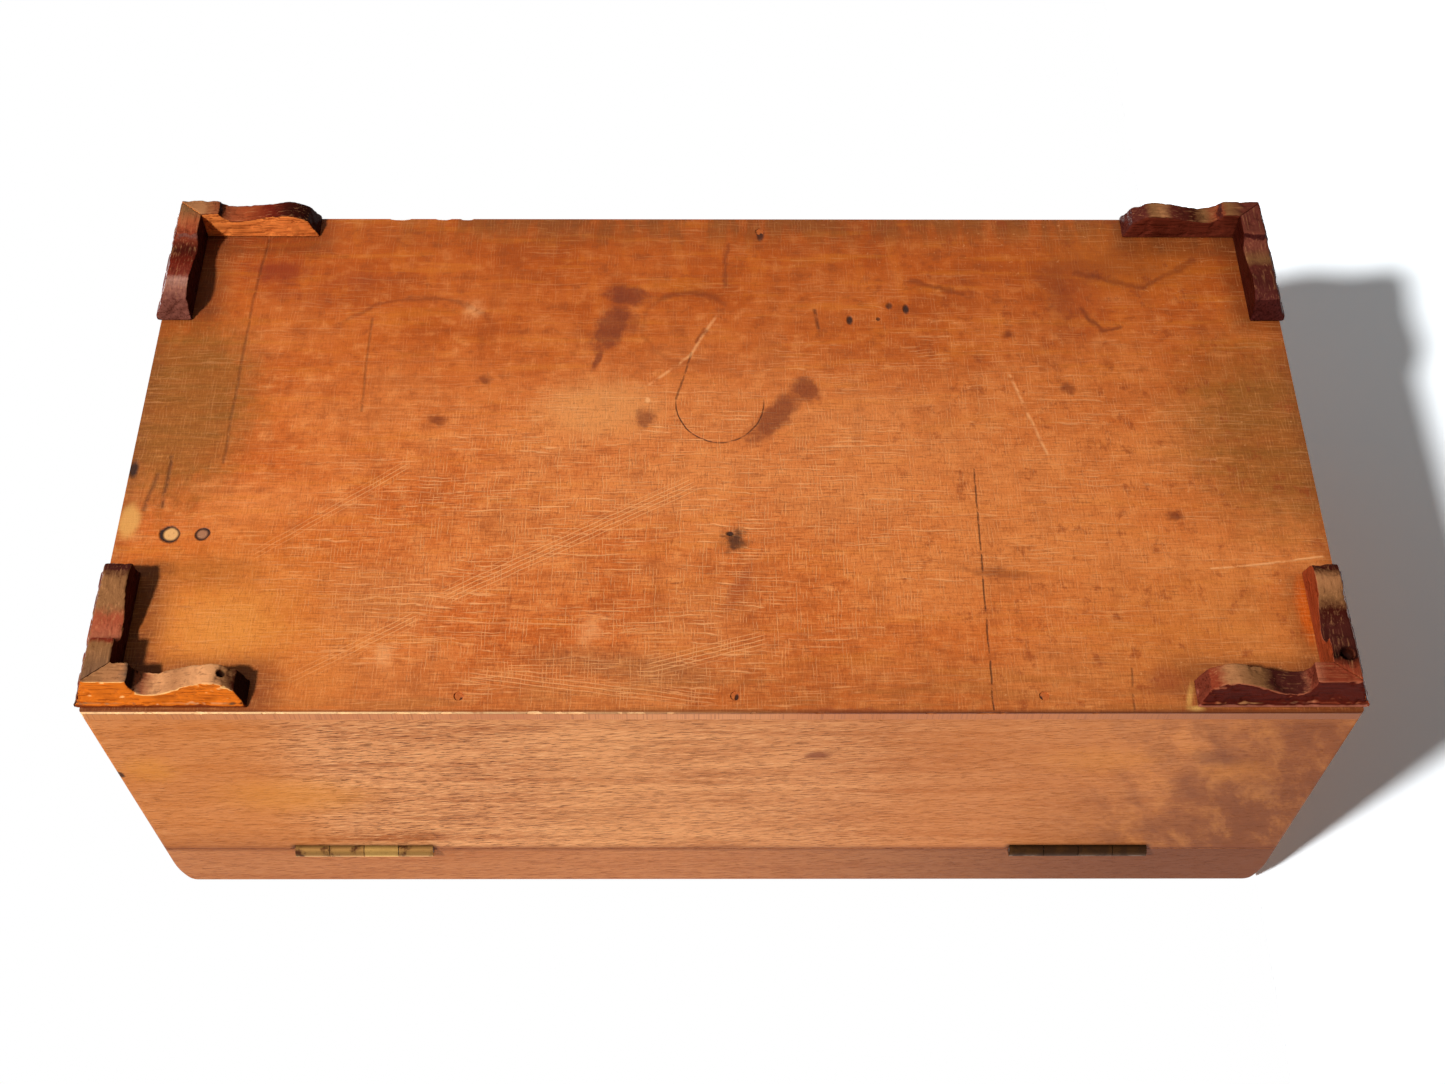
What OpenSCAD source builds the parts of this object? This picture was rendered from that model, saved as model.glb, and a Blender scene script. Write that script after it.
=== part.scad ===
// Hinged wooden money box on four bracket feet, with a coin slot and a key lock.
// Millimetres. The soles of the feet stand on z = 0, the front faces -Y and the hinges are at the back.

/* [Box] */
// Length of the case along X
box_w = 310; // [240:1:420]
// Depth of the case along Y
box_d = 160; // [130:1:240]
// Height from the underside of the bottom board to the top of the lid
case_h = 106; // [90:1:160]
// Thickness of the four walls and of the lid's rails
wall_t = 9.5; // [9.3:0.1:12]
// Thickness of the bottom board
bottom_t = 3.2; // [2.5:0.1:5]
// Radius of the four upright corners
corner_r = 1.2; // [0.6:0.1:2.4]

/* [Lid] */
// Height of the lid from the seam to its top
lid_h = 25; // [18:0.5:32]
// Thickness of the lid's top board
lid_top_t = 6; // [4:0.5:8]
// Width of the rebate that carries the top board
rebate_w = 4.5; // [3:0.1:5.5]
// Radius of the rounded arris round the top of the lid
lid_r = 3.8; // [2:0.1:4]
// Gap at the seam between lid and case
seam_gap = 0.3; // [0.2:0.05:0.5]
// Length of the coin slot
coin_slot_l = 42; // [34:1:60]
// Width of the coin slot
coin_slot_w = 5.5; // [5:0.1:7]

/* [Bracket feet] */
// Height of the feet
foot_h = 9.5; // [9:0.1:14]
// Length of the halves that run along the front and the back
foot_long_l = 41.8; // [38:0.1:52]
// Length of the halves that run along the ends
foot_end_l = 38.8; // [36:0.1:52]
// Thickness of the front and back halves at their base
foot_long_t = 7.8; // [7:0.1:10]
// Thickness of the end halves at their base
foot_end_t = 9.8; // [7:0.1:11]
// How far the outer face of a front or back half leans in from base to sole
foot_long_lean = 2.2; // [1.2:0.1:3]
// How far the outer face of an end half leans in from base to sole
foot_end_lean = 3.6; // [1.2:0.1:4]
// Overhang of the feet past the ends of the case
foot_out_end = 1.3; // [0:0.1:2]
// Overhang of the feet past the front of the case
foot_out_front = 0.6; // [0:0.1:2]
// Inset of the feet from the back of the case
foot_in_back = 1.2; // [0:0.1:2]
// Flat length of the sole, measured from the corner of the base
sole_l = 14.6; // [12:0.1:16]
// Height left above the board in the hollow behind the sole of a back foot
dip_h = 4.8; // [3.5:0.1:5.5]
// The same height of a front foot, whose hollow is shallow
front_dip_h = 6.6; // [5:0.1:7.5]
// Height of the swelling beyond the hollow
hump_h = 8.9; // [6:0.1:9.2]

/* [Hinges] */
// Length of each butt hinge
hinge_l = 38; // [32:0.5:50]
// Distance of each hinge's middle from the end of the box
hinge_inset = 56; // [45:1:80]
// Diameter of the hinge barrel
barrel_d = 3.8; // [3.4:0.1:4.4]
// Diameter of the hinge pin
hinge_pin_d = 1.8; // [1.4:0.1:2]
// Width of a leaf, from the pin's axis to its inner edge
leaf_w = 8.4; // [8:0.1:8.8]
// Thickness of a leaf
leaf_t = 1.2; // [1:0.05:1.4]
// Distance of the pin's axis behind the back face
barrel_out = 0.2; // [0.1:0.05:0.4]
// Number of screws in each leaf
leaf_screws = 3; // [2:1:3]

/* [Lock] */
// Half the width of the lock case
lock_half_w = 21; // [20.5:0.1:24]
// Depth of the lock from the inner face of the front board
lock_depth = 7; // [6.9:0.05:7.3]
// Thickness of the lock plate and of the plates in the seam
plate_t = 1.2; // [1:0.05:1.3]
// Thickness of the lock's cap
cap_t = 0.8; // [0.6:0.05:0.9]
// How far the key throws the bolt
bolt_travel = 5; // [4.5:0.1:5.5]
// Height of the bolt's bar
bolt_bar_h = 5; // [4.6:0.1:6]
// Distance of each catch of the link plate from the middle
catch_x = 10; // [9.8:0.1:11]
// Diameter of the key's shank
key_d = 3.2; // [2.8:0.1:3.6]
// Length of the key in front of the box
key_out = 30; // [24:1:40]
// Outer diameter of the key's bow
bow_d = 17; // [14:0.5:22]

/* [Fastenings] */
// Diameter of the screw heads
screw_head_d = 3.4; // [3:0.1:3.6]
// Diameter of the screw shanks
screw_d = 1.8; // [1.5:0.1:2]
// Length of the hinge screws
screw_l = 9; // [7:0.5:12]
// Length of the short lock screws
lock_screw_l = 6; // [4.5:0.5:6.5]
// Diameter of the nails in the bottom board
nail_d = 1.4; // [1.1:0.1:1.8]
// Length of the nails
nail_l = 18; // [12:1:25]
// Diameter of the larger plug in the bottom board
big_plug_d = 4.4; // [3.5:0.1:6]
// Diameter of the smaller plug
small_plug_d = 3.3; // [2.5:0.1:4.5]

/* [Hidden] */
$fn = 48;

// Finishes
mahogany = "peru";
dark_mahogany = "saddlebrown";
pine = "sandybrown";
brass = "darkgoldenrod";
steel = "slategray";

// Levels and faces of the case
half_w = box_w / 2;
half_d = box_d / 2;
floor_z = foot_h + bottom_t;
seam_z = foot_h + case_h - lid_h;
lid_z = seam_z + seam_gap;
top_z = foot_h + case_h;
inner_y = -half_d + wall_t;
cut = 1;              // how far a cutter runs past the face it opens
fit = 0.05;           // clearance of a glued, driven or running fit
recess_fit = 0.1;     // clearance round a plate let into wood

// Walls are numbered front, right, back, left
FRONT = 0;
RIGHT = 1;
BACK = 2;
LEFT = 3;

// Case and lid

// Corner i of the rectangle that lies t inside the outline, counted from the front left
function plan_corner(i, t) = [
    (i == 1 || i == 2 ? 1 : -1) * (half_w - t),
    (i > 1 ? 1 : -1) * (half_d - t)
];

// The case's outline with its upright corners rounded
module plan_outline() {
    square([box_w - 2 * corner_r, box_d], center = true);
    square([box_w, box_d - 2 * corner_r], center = true);
    for (i = [0 : 3]) translate(plan_corner(i, corner_r)) circle(corner_r);
}

// Plan of one wall, mitred at both ends
module wall_plan(side) {
    next = (side + 1) % 4;
    intersection() {
        polygon([
            plan_corner(side, 0), plan_corner(next, 0),
            plan_corner(next, wall_t), plan_corner(side, wall_t)
        ]);
        plan_outline();
    }
}

module wall(side) {
    translate([0, 0, floor_z]) linear_extrude(seam_z - floor_z) wall_plan(side);
}

// Section of a lid rail: x runs inwards from the outer face, y upwards from the seam
module rail_section() {
    rail_h = top_z - lid_z;
    difference() {
        square([wall_t, rail_h]);
        translate([wall_t - rebate_w, rail_h - lid_top_t]) square([rebate_w + cut, lid_top_t + cut]);
        difference() {
            translate([-cut, rail_h - lid_r]) square([lid_r + cut, lid_r + cut]);
            translate([lid_r, rail_h - lid_r]) circle(lid_r);
        }
    }
}

module lid_rail(side) {
    reach = side % 2 == 0 ? half_d : half_w;
    intersection() {
        translate([0, 0, lid_z]) linear_extrude(top_z - lid_z) wall_plan(side);
        rotate([0, 0, 90 * side]) translate([0, -reach, lid_z]) rotate([90, 0, 90])
            linear_extrude(box_w + box_d, center = true) rail_section();
    }
}

module end_board(side) {
    color(mahogany) wall(side);
}

module lid_end_rail(side) {
    color(mahogany) lid_rail(side);
}

module front_board() {
    color(mahogany) difference() {
        wall(FRONT);
        lock_mortise();
        along_y(-half_d - cut, inner_y) keyhole(liner_wall);
        nail_holes();
        lock_screw_holes();
    }
}

module back_board() {
    color(mahogany) difference() {
        wall(BACK);
        for (side = [-1, 1]) {
            hinge_mortise(side);
            leaf_screw_holes(side);
        }
        nail_holes();
    }
}

module bottom_board() {
    color(pine) difference() {
        translate([0, 0, foot_h]) linear_extrude(bottom_t) plan_outline();
        nail_holes();
        for (p = plugs) translate([p[0], p[1], foot_h - cut]) cylinder(h = bottom_t + 2 * cut, d = p[2]);
    }
}

module lid_top_board() {
    inset = wall_t - rebate_w + fit;
    color(mahogany) translate([0, 0, top_z - lid_top_t]) linear_extrude(lid_top_t) difference() {
        square([box_w - 2 * inset, box_d - 2 * inset], center = true);
        square([coin_slot_l, coin_slot_w], center = true);
    }
}

module lid_front_rail() {
    color(mahogany) difference() {
        lid_rail(FRONT);
        link_plate_mortise();
        link_screws_at() screw_hole(screw_l);
    }
}

module lid_back_rail() {
    color(mahogany) difference() {
        lid_rail(BACK);
        for (side = [-1, 1]) over_seam() {
            hinge_mortise(side);
            leaf_screw_holes(side);
        }
    }
}

// Nails and plugs of the bottom board

nail_head_d = 1.7 * nail_d;
nail_head_t = 0.5;
nail_sink = 0.4;                      // how deep the heads are punched
back_nails_x = [-64, 3, 78];
front_nails_x = [11];
nail_row_y = half_d - wall_t / 2;     // the nails enter the middle of the walls
plug_in_end = 14;                     // from the left end to the larger plug
plug_in_back = 51.5;
plug_pitch = 8;
plugs = [
    [-half_w + plug_in_end, half_d - plug_in_back, big_plug_d],
    [-half_w + plug_in_end + plug_pitch, half_d - plug_in_back, small_plug_d]
];

module nails_at() {
    for (x = back_nails_x) translate([x, nail_row_y, foot_h]) children();
    for (x = front_nails_x) translate([x, -nail_row_y, foot_h]) children();
}

module nail_holes() {
    nails_at() {
        translate([0, 0, -cut]) cylinder(h = nail_sink + nail_head_t + cut, d = nail_head_d + 2 * fit);
        cylinder(h = nail_l + fit, d = nail_d + 2 * fit);
    }
}

module bottom_nails() {
    color(steel) nails_at() {
        translate([0, 0, nail_sink]) cylinder(h = nail_head_t, d = nail_head_d);
        translate([0, 0, nail_sink]) cylinder(h = nail_l - nail_sink - nail_d, d = nail_d);
        translate([0, 0, nail_l - nail_d]) cylinder(h = nail_d, d1 = nail_d, d2 = 0.3);
    }
}

module bottom_plugs() {
    color(pine) for (p = plugs) translate([p[0], p[1], foot_h])
        cylinder(h = bottom_t, d = p[2] - 2 * fit);
}

// Bracket feet: each foot is two sawn and moulded halves, mitred at the corner.
// A half is drawn in its own frame: x runs along it from the corner of the base, y runs inwards
// through its thickness and z runs from the base, which is glued to the bottom board, to the sole.

lip_h = 1.9;          // height of the rounded lip round the base
lip_r = 0.8;          // radius of the lip's edge
lip_step = 0.5;       // step from the lip to the leaning face
cove_r = 3.6;         // radius of the hollow beside the sole
crest_share = 0.66;   // place of the crest between the bottom of the hollow and the end
long_end_slope = 2.4; // how far the sawn end of a front or back half leans back over its height
long_end_h = 6.2;     // height of that end where the hump runs out
side_end_slope = 1.8; // the same of the halves along the ends, which are blunter
side_end_h = 7.4;
profile_steps = 12;   // straight pieces in each swept curve of the outline

// Points of the outer face from base to sole, as [distance in from the base's edge, height]
function outer_face(lean) = [
    for (a = [0 : 22.5 : 90]) [lip_r * (1 - sin(a)), lip_r * (1 - cos(a))],
    [0, lip_h - lip_r / 2],
    [lip_r / 4, lip_h],
    [lip_step + lip_r / 4, lip_h + lip_r / 4],
    [lean, foot_h]
];

// Height of the sawn outline at x, past the hollow: a swell up to the crest, then down to the end
function swell(x, dip_x, crest_x, end_x, dip, end_h) =
    x < crest_x
        ? dip + (hump_h - dip) * (1 - cos(180 * (x - dip_x) / (crest_x - dip_x))) / 2
        : hump_h - (hump_h - end_h) * (1 - cos(90 * (x - crest_x) / (end_x - crest_x)));

// Elevation of a half of length l whose corner leans in by lean, with height dip left in its hollow
module foot_elevation(l, lean, dip, end_slope, end_h) {
    cove_left = max(cove_r - (foot_h - dip), 0);
    cove_start = acos(cove_left / cove_r);
    dip_x = sole_l + cove_r * sin(cove_start);
    crest_x = dip_x + (l - dip_x) * crest_share;
    end_x = l - end_slope;
    polygon(concat(
        outer_face(lean),
        [[sole_l, foot_h]],
        [for (i = [0 : profile_steps]) let (a = cove_start * (1 - i / profile_steps))
            [dip_x - cove_r * sin(a), dip + cove_r * (1 - cos(a))]],
        [for (i = [1 : 2 * profile_steps]) let (x = dip_x + (end_x - dip_x) * i / (2 * profile_steps))
            [x, swell(x, dip_x, crest_x, end_x, dip, end_h)]],
        [[l, 0]]
    ));
}

// Section of a half of thickness t whose outer face leans in by lean
module foot_section(t, lean) {
    polygon(concat(outer_face(lean), [[t, foot_h], [t, 0]]));
}

// One half: its elevation and its section crossed, cut on the mitre towards [t, other_t]
module foot_half(l, t, lean, other_t, corner_lean, dip, end_slope, end_h) {
    intersection() {
        translate([0, t, 0]) rotate([90, 0, 0]) linear_extrude(t)
            foot_elevation(l, corner_lean, dip, end_slope, end_h);
        rotate([90, 0, 90]) linear_extrude(l) foot_section(t, lean);
        linear_extrude(foot_h) polygon([[0, 0], [l, 0], [l, t], [other_t, t]]);
    }
}

// Puts a foot at the corner of sides sx and sy, with its base against the bottom board
module at_corner(sx, sy) {
    out_y = sy < 0 ? foot_out_front : -foot_in_back;
    translate([sx * (half_w + foot_out_end), sy * (half_d + out_y), foot_h])
        mirror([sx > 0 ? 1 : 0, 0, 0]) mirror([0, sy > 0 ? 1 : 0, 0]) mirror([0, 0, 1]) children();
}

module long_half(sx, sy) {
    color(dark_mahogany) at_corner(sx, sy)
        foot_half(foot_long_l, foot_long_t, foot_long_lean, foot_end_t, foot_end_lean,
            sy < 0 ? front_dip_h : dip_h, long_end_slope, long_end_h);
}

module end_half(sx, sy) {
    color(dark_mahogany) at_corner(sx, sy) mirror([1, -1, 0])
        foot_half(foot_end_l, foot_end_t, foot_end_lean, foot_long_t, foot_long_lean,
            sy < 0 ? front_dip_h : dip_h, side_end_slope, side_end_h);
}

// Screws: drawn head down at the origin, driven along +z

screw_slot_w = 0.5;
screw_slot_deep = 0.4;
head_h = (screw_head_d - screw_d) / 2;

module screw(l) {
    difference() {
        union() {
            cylinder(h = head_h, d1 = screw_head_d, d2 = screw_d);
            cylinder(h = l - screw_d, d = screw_d);
            translate([0, 0, l - screw_d]) cylinder(h = screw_d, d1 = screw_d, d2 = 0.3);
        }
        cube([screw_head_d + cut, screw_slot_w, 2 * screw_slot_deep], center = true);
    }
}

module screw_hole(l) {
    cylinder(h = l + fit, d = screw_d + 2 * fit);
    cylinder(h = head_h, d1 = screw_head_d + 2 * fit, d2 = screw_d + 2 * fit);
    translate([0, 0, -cut]) cylinder(h = cut + fit / 10, d = screw_head_d + 2 * fit);
}

// Butt hinges: the case leaf carries knuckles 0 and 2, the lid leaf knuckles 1 and 3

hinge_x = half_w - hinge_inset;
axis_y = half_d + barrel_out;
axis_z = seam_z + seam_gap / 2;
knuckles = 4;
knuckle_gap = 0.2;
knuckle_l = (hinge_l - (knuckles - 1) * knuckle_gap) / knuckles;
barrel_clear = 0.35;          // room round the barrel in the wood and in the other leaf
leaf_screw_y = axis_y - (leaf_w + barrel_d / 2) / 2;
leaf_screw_inset = 5.5;       // from the end of a leaf to its first screw

// Turns what lies under the seam over, so that it serves the lid
module over_seam() {
    translate([0, 0, 2 * axis_z]) mirror([0, 0, 1]) children();
}

module knuckle(i, d, grow) {
    translate([-hinge_l / 2 + i * (knuckle_l + knuckle_gap) - grow, 0, 0]) rotate([0, 90, 0])
        cylinder(h = knuckle_l + 2 * grow, d = d);
}

// A leaf in the hinge's own frame: the pin's axis is x, the plate lies under the seam towards -y
module leaf(first) {
    own = [for (i = [first : 2 : knuckles - 1]) i];
    other = [for (i = [1 - first : 2 : knuckles - 1]) i];
    difference() {
        union() {
            translate([-hinge_l / 2, -leaf_w, -seam_gap / 2 - leaf_t]) cube([hinge_l, leaf_w, leaf_t]);
            for (i = own) knuckle(i, barrel_d, 0);
        }
        for (i = other) knuckle(i, barrel_d + 2 * barrel_clear, knuckle_gap);
        rotate([0, 90, 0]) cylinder(h = hinge_l + 2 * cut, d = hinge_pin_d + 2 * fit, center = true);
    }
}

module leaf_screws_at(side) {
    span = hinge_l - 2 * leaf_screw_inset;
    for (i = [0 : leaf_screws - 1])
        translate([side * hinge_x - span / 2 + span * i / (leaf_screws - 1), leaf_screw_y, seam_z])
            mirror([0, 0, 1]) children();
}

module leaf_screw_holes(side) {
    leaf_screws_at(side) screw_hole(screw_l);
}

// Recess in the wood under the seam for one leaf and for the barrel
module hinge_mortise(side) {
    notch = barrel_d / 2 + barrel_clear;
    translate([side * hinge_x, axis_y, seam_z]) {
        translate([-hinge_l / 2 - recess_fit, -leaf_w - recess_fit, -leaf_t])
            cube([hinge_l + 2 * recess_fit, leaf_w + cut, leaf_t + cut]);
        translate([-hinge_l / 2 - recess_fit, -notch, -notch])
            cube([hinge_l + 2 * recess_fit, notch + cut, notch + cut]);
    }
}

module case_leaf(side) {
    color(brass) difference() {
        translate([side * hinge_x, axis_y, axis_z]) leaf(0);
        leaf_screw_holes(side);
    }
}

module lid_leaf(side) {
    color(brass) difference() {
        translate([side * hinge_x, axis_y, axis_z]) mirror([0, 0, 1]) leaf(1);
        over_seam() leaf_screw_holes(side);
    }
}

module hinge_pin(side) {
    color(steel) translate([side * hinge_x, axis_y, axis_z]) rotate([0, 90, 0])
        cylinder(h = hinge_l, d = hinge_pin_d, center = true);
}

module case_leaf_screws(side) {
    color(brass) leaf_screws_at(side) screw(screw_l);
}

module lid_leaf_screws(side) {
    color(brass) over_seam() leaf_screws_at(side) screw(screw_l);
}

// Lock: a bolt slides along X between the lock plate and its cap. Two hooks on the bolt slide
// into the windows of two catches that hang from the link plate in the lid.

catch_t = 1.6;                // thickness of a catch along X
catch_w = 3.6;                // width of a catch along Y
catch_wall = 0.6;             // metal left beside the window
window_drop = 1.6;            // from the selvedge's underside to the window
window_h = 3;
catch_toe = 1.9;              // metal left below the window
bolt_t = 1.8;                 // thickness of the bolt along Y
bolt_clear = 0.5;             // room between a catch and the bolt's hook and bar
catch_clear_back = 0.5;       // room between a catch and the lock plate
catch_clear_front = 0.9;      // room in front, where the catch swings as the lid opens
hook_h = 2.2;
hook_post_w = 2.5;
rivet_d = 2;
slide_fit = 0.08;             // running clearance of the bolt on its rivets
key_fit = 0.08;               // running clearance of the key on the drill pin
key_clear = 0.5;              // room round the key's shank in the keyhole
plate_margin = 5;             // flange of the lock plate past the case
case_play = 0.3;              // room round the lock case in its mortise

case_top = seam_z - plate_t;                              // underside of the selvedge
catch_bottom = case_top - window_drop - window_h - catch_toe;
bar_top = catch_bottom - bolt_clear;
bar_bottom = bar_top - bolt_bar_h;
bit_r = bolt_travel;                                      // a turn of 60 degrees throws 2 r sin 30
bit_t = 1.4;
bit_bite = 1.6;                                           // how far the bit reaches into the bar
talon_play = 0.3;                                         // room beside and above the bit in its notch
key_z = bar_bottom + bit_bite - bit_r;
case_under_key = 3.6;                                     // room in the lock below the key's bit
case_bottom = key_z - bit_r - case_under_key;
plate_y = inner_y - plate_t;                              // front face of the lock plate
cap_y = inner_y - lock_depth;                             // front face of the cap
catch_y = plate_y - catch_clear_back - catch_w / 2;       // middle plane of catches and bolt
liner_t = wall_t - lock_depth - case_play;                // wood and liner in front of the case
liner_wall = 1;
slot_w = bit_t + 2 * 0.4;
rest_angle = 30;                                          // the bit meets the bolt this far before upright
drill_pin_d = 1.4;
collar_t = 1.6;                                           // the key's two turned collars
collar_step = 1;
collar_out = 2;
collar_to_bow = 1.5;
key_end_gap = 0.6;                                        // from the key's end to the lock plate
bit_gap = 0.5;                                            // from the bit to the cap
pipe_past_cap = 2;                                        // the key's bore runs this far past the cap
flange_w = lock_half_w + plate_margin;
selvedge_d = 7.6;
bar_end_play = 0.6;                                       // room at each end of the bolt's stroke
bar_left = -lock_half_w + cap_t + bar_end_play;
bar_right = lock_half_w - cap_t - bar_end_play - bolt_travel;
stump_x = 9;                                              // rivets that the bolt slides on
stump_z = (bar_top + bar_bottom) / 2;
rivet_inset = 5;                                          // foot rivets in from the case's ends
foot_rivet_x = lock_half_w - rivet_inset;
foot_rivet_z = case_bottom + 3.5;
lock_screw_x = lock_half_w + plate_margin / 2 + case_play / 2;
screw_inset_low = 3;                                      // lock screws in from the case's two edges
screw_inset_high = 5;
spring_t = 0.5;
spring_w = 2.4;
spring_gap = 0.3;

// Extrudes a drawing of X and Z from y0 to y1
module along_y(y0, y1) {
    translate([0, y1, 0]) rotate([90, 0, 0]) linear_extrude(y1 - y0) children();
}

// Outline of the keyhole, grown on all sides
module keyhole(grow) {
    r = key_d / 2 + key_clear + grow;
    translate([0, key_z]) {
        circle(r);
        translate([-slot_w / 2 - grow, -bit_r - key_clear - grow])
            square([slot_w + 2 * grow, bit_r + key_clear + grow]);
    }
}

module slot_2d(x0, x1, z, h) {
    translate([x0, z - h / 2]) square([x1 - x0, h]);
    for (x = [x0, x1]) translate([x, z]) circle(h / 2);
}

// Room in the front board for the case, the flange of the plate and the selvedge
module lock_mortise() {
    case_w = lock_half_w + case_play;
    along_y(cap_y - case_play, inner_y + cut) translate([-case_w, case_bottom - case_play])
        square([2 * case_w, case_top - case_bottom + 2 * case_play]);
    along_y(plate_y, inner_y + cut) translate([-flange_w - recess_fit, case_bottom - cap_t - recess_fit])
        square([2 * (flange_w + recess_fit), seam_z - case_bottom + cap_t + cut]);
    translate([-flange_w - recess_fit, inner_y - selvedge_d - recess_fit, case_top])
        cube([2 * (flange_w + recess_fit), selvedge_d + recess_fit + cut, plate_t + cut]);
}

module rivets_at() {
    for (sx = [-1, 1]) {
        translate([sx * stump_x, 0, stump_z]) children();
        translate([sx * foot_rivet_x, 0, foot_rivet_z]) children();
    }
}

module rivet_shank(d) {
    translate([0, inner_y, 0]) rotate([90, 0, 0]) cylinder(h = lock_depth, d = d);
}

module lock_screws_at() {
    for (sx = [-1, 1], z = [case_bottom + screw_inset_low, case_top - screw_inset_high])
        translate([sx * lock_screw_x, inner_y, z]) rotate([90, 0, 0]) children();
}

module lock_screw_holes() {
    lock_screws_at() screw_hole(lock_screw_l);
}

module lock_plate() {
    color(brass) difference() {
        union() {
            along_y(plate_y, inner_y) translate([-flange_w, case_bottom - cap_t])
                square([2 * flange_w, seam_z - case_bottom + cap_t]);
            translate([-flange_w, inner_y - selvedge_d, case_top]) cube([2 * flange_w, selvedge_d, plate_t]);
            translate([0, plate_y, key_z]) rotate([90, 0, 0])
                cylinder(h = plate_y - cap_y - cap_t, d = drill_pin_d);
        }
        for (sx = [-1, 1]) translate([
            sx * catch_x - catch_t / 2 - bolt_clear,
            catch_y - catch_w / 2 - catch_clear_front,
            case_top - cut
        ]) cube([
            catch_t + 2 * bolt_clear,
            catch_w + catch_clear_front + catch_clear_back,
            plate_t + 2 * cut
        ]);
        rivets_at() rivet_shank(rivet_d + 2 * fit);
        lock_screw_holes();
    }
}

// The cap is a shallow tray that closes the case on the side of the wood
module lock_cap() {
    color(brass) difference() {
        along_y(cap_y, plate_y) translate([-lock_half_w, case_bottom])
            square([2 * lock_half_w, case_top - case_bottom]);
        along_y(cap_y + cap_t, plate_y + cut) translate([-lock_half_w + cap_t, case_bottom + cap_t])
            square([2 * (lock_half_w - cap_t), case_top - case_bottom]);
        along_y(cap_y - cut, cap_y + cap_t + cut) keyhole(0);
        rivets_at() rivet_shank(rivet_d + 2 * fit);
    }
}

module lock_rivets() {
    color(steel) rivets_at() rivet_shank(rivet_d);
}

// A hook of the bolt: its tip stands just before the catch at x
module bolt_hook(x) {
    tip = x - catch_t / 2 - bolt_clear;
    hook_top = case_top - window_drop - (window_h - hook_h) / 2;
    translate([tip - bolt_travel, hook_top - hook_h]) square([bolt_travel, hook_h]);
    translate([tip - bolt_travel - hook_post_w, bar_top - 1]) square([hook_post_w, hook_top - bar_top + 1]);
}

module lock_bolt() {
    bit_edge_x = (bit_r - bit_bite) * tan(rest_angle) - bit_t / 2 / cos(rest_angle);
    talon_x = -bit_r * sin(rest_angle);
    talon_half_w = -talon_x - bit_edge_x + talon_play;
    color(steel) along_y(catch_y - bolt_t / 2, catch_y + bolt_t / 2) difference() {
        union() {
            translate([bar_left, bar_bottom]) square([bar_right - bar_left, bolt_bar_h]);
            for (sx = [-1, 1]) bolt_hook(sx * catch_x);
        }
        for (sx = [-1, 1])
            slot_2d(sx * stump_x - bolt_travel, sx * stump_x, stump_z, rivet_d + 2 * slide_fit);
        translate([talon_x - talon_half_w, bar_bottom - cut])
            square([2 * talon_half_w, bit_bite + talon_play + cut]);
    }
}

// Bent spring: an eye round a rivet and a quarter of a ring that ends under the bolt's bar
module lock_spring() {
    ring_r = bar_bottom - spring_gap - foot_rivet_z;
    eye_r = rivet_d / 2 + 0.9;
    color(steel) along_y(catch_y - spring_w / 2, catch_y + spring_w / 2) difference() {
        union() {
            translate([foot_rivet_x, foot_rivet_z]) circle(eye_r);
            translate([foot_rivet_x - ring_r + spring_t / 2, foot_rivet_z]) intersection() {
                difference() {
                    circle(ring_r);
                    circle(ring_r - spring_t);
                }
                square([ring_r, ring_r]);
            }
        }
        translate([foot_rivet_x, foot_rivet_z]) circle(rivet_d / 2 + fit);
    }
}

module lock_screws() {
    color(brass) lock_screws_at() screw(lock_screw_l);
}

link_screw_x = flange_w - 3.5;

module link_screws_at() {
    for (sx = [-1, 1]) translate([sx * link_screw_x, inner_y - selvedge_d / 2, lid_z]) children();
}

module link_plate_mortise() {
    translate([-flange_w - recess_fit, inner_y - selvedge_d - recess_fit, lid_z - cut])
        cube([2 * (flange_w + recess_fit), selvedge_d + recess_fit + cut, plate_t + cut]);
}

module link_plate() {
    color(brass) difference() {
        union() {
            translate([-flange_w, inner_y - selvedge_d, lid_z]) cube([2 * flange_w, selvedge_d, plate_t]);
            for (sx = [-1, 1])
                translate([sx * catch_x - catch_t / 2, catch_y - catch_w / 2, catch_bottom])
                    cube([catch_t, catch_w, lid_z - catch_bottom]);
        }
        for (sx = [-1, 1]) translate([
            sx * catch_x - catch_t / 2 - cut,
            catch_y - catch_w / 2 + catch_wall,
            catch_bottom + catch_toe
        ]) cube([catch_t + 2 * cut, catch_w - 2 * catch_wall, window_h]);
        link_screws_at() screw_hole(screw_l);
    }
}

module link_plate_screws() {
    color(brass) link_screws_at() screw(screw_l);
}

module keyhole_liner() {
    color(brass) along_y(-half_d, -half_d + liner_t) difference() {
        keyhole(liner_wall - fit);
        keyhole(0);
    }
}

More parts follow.
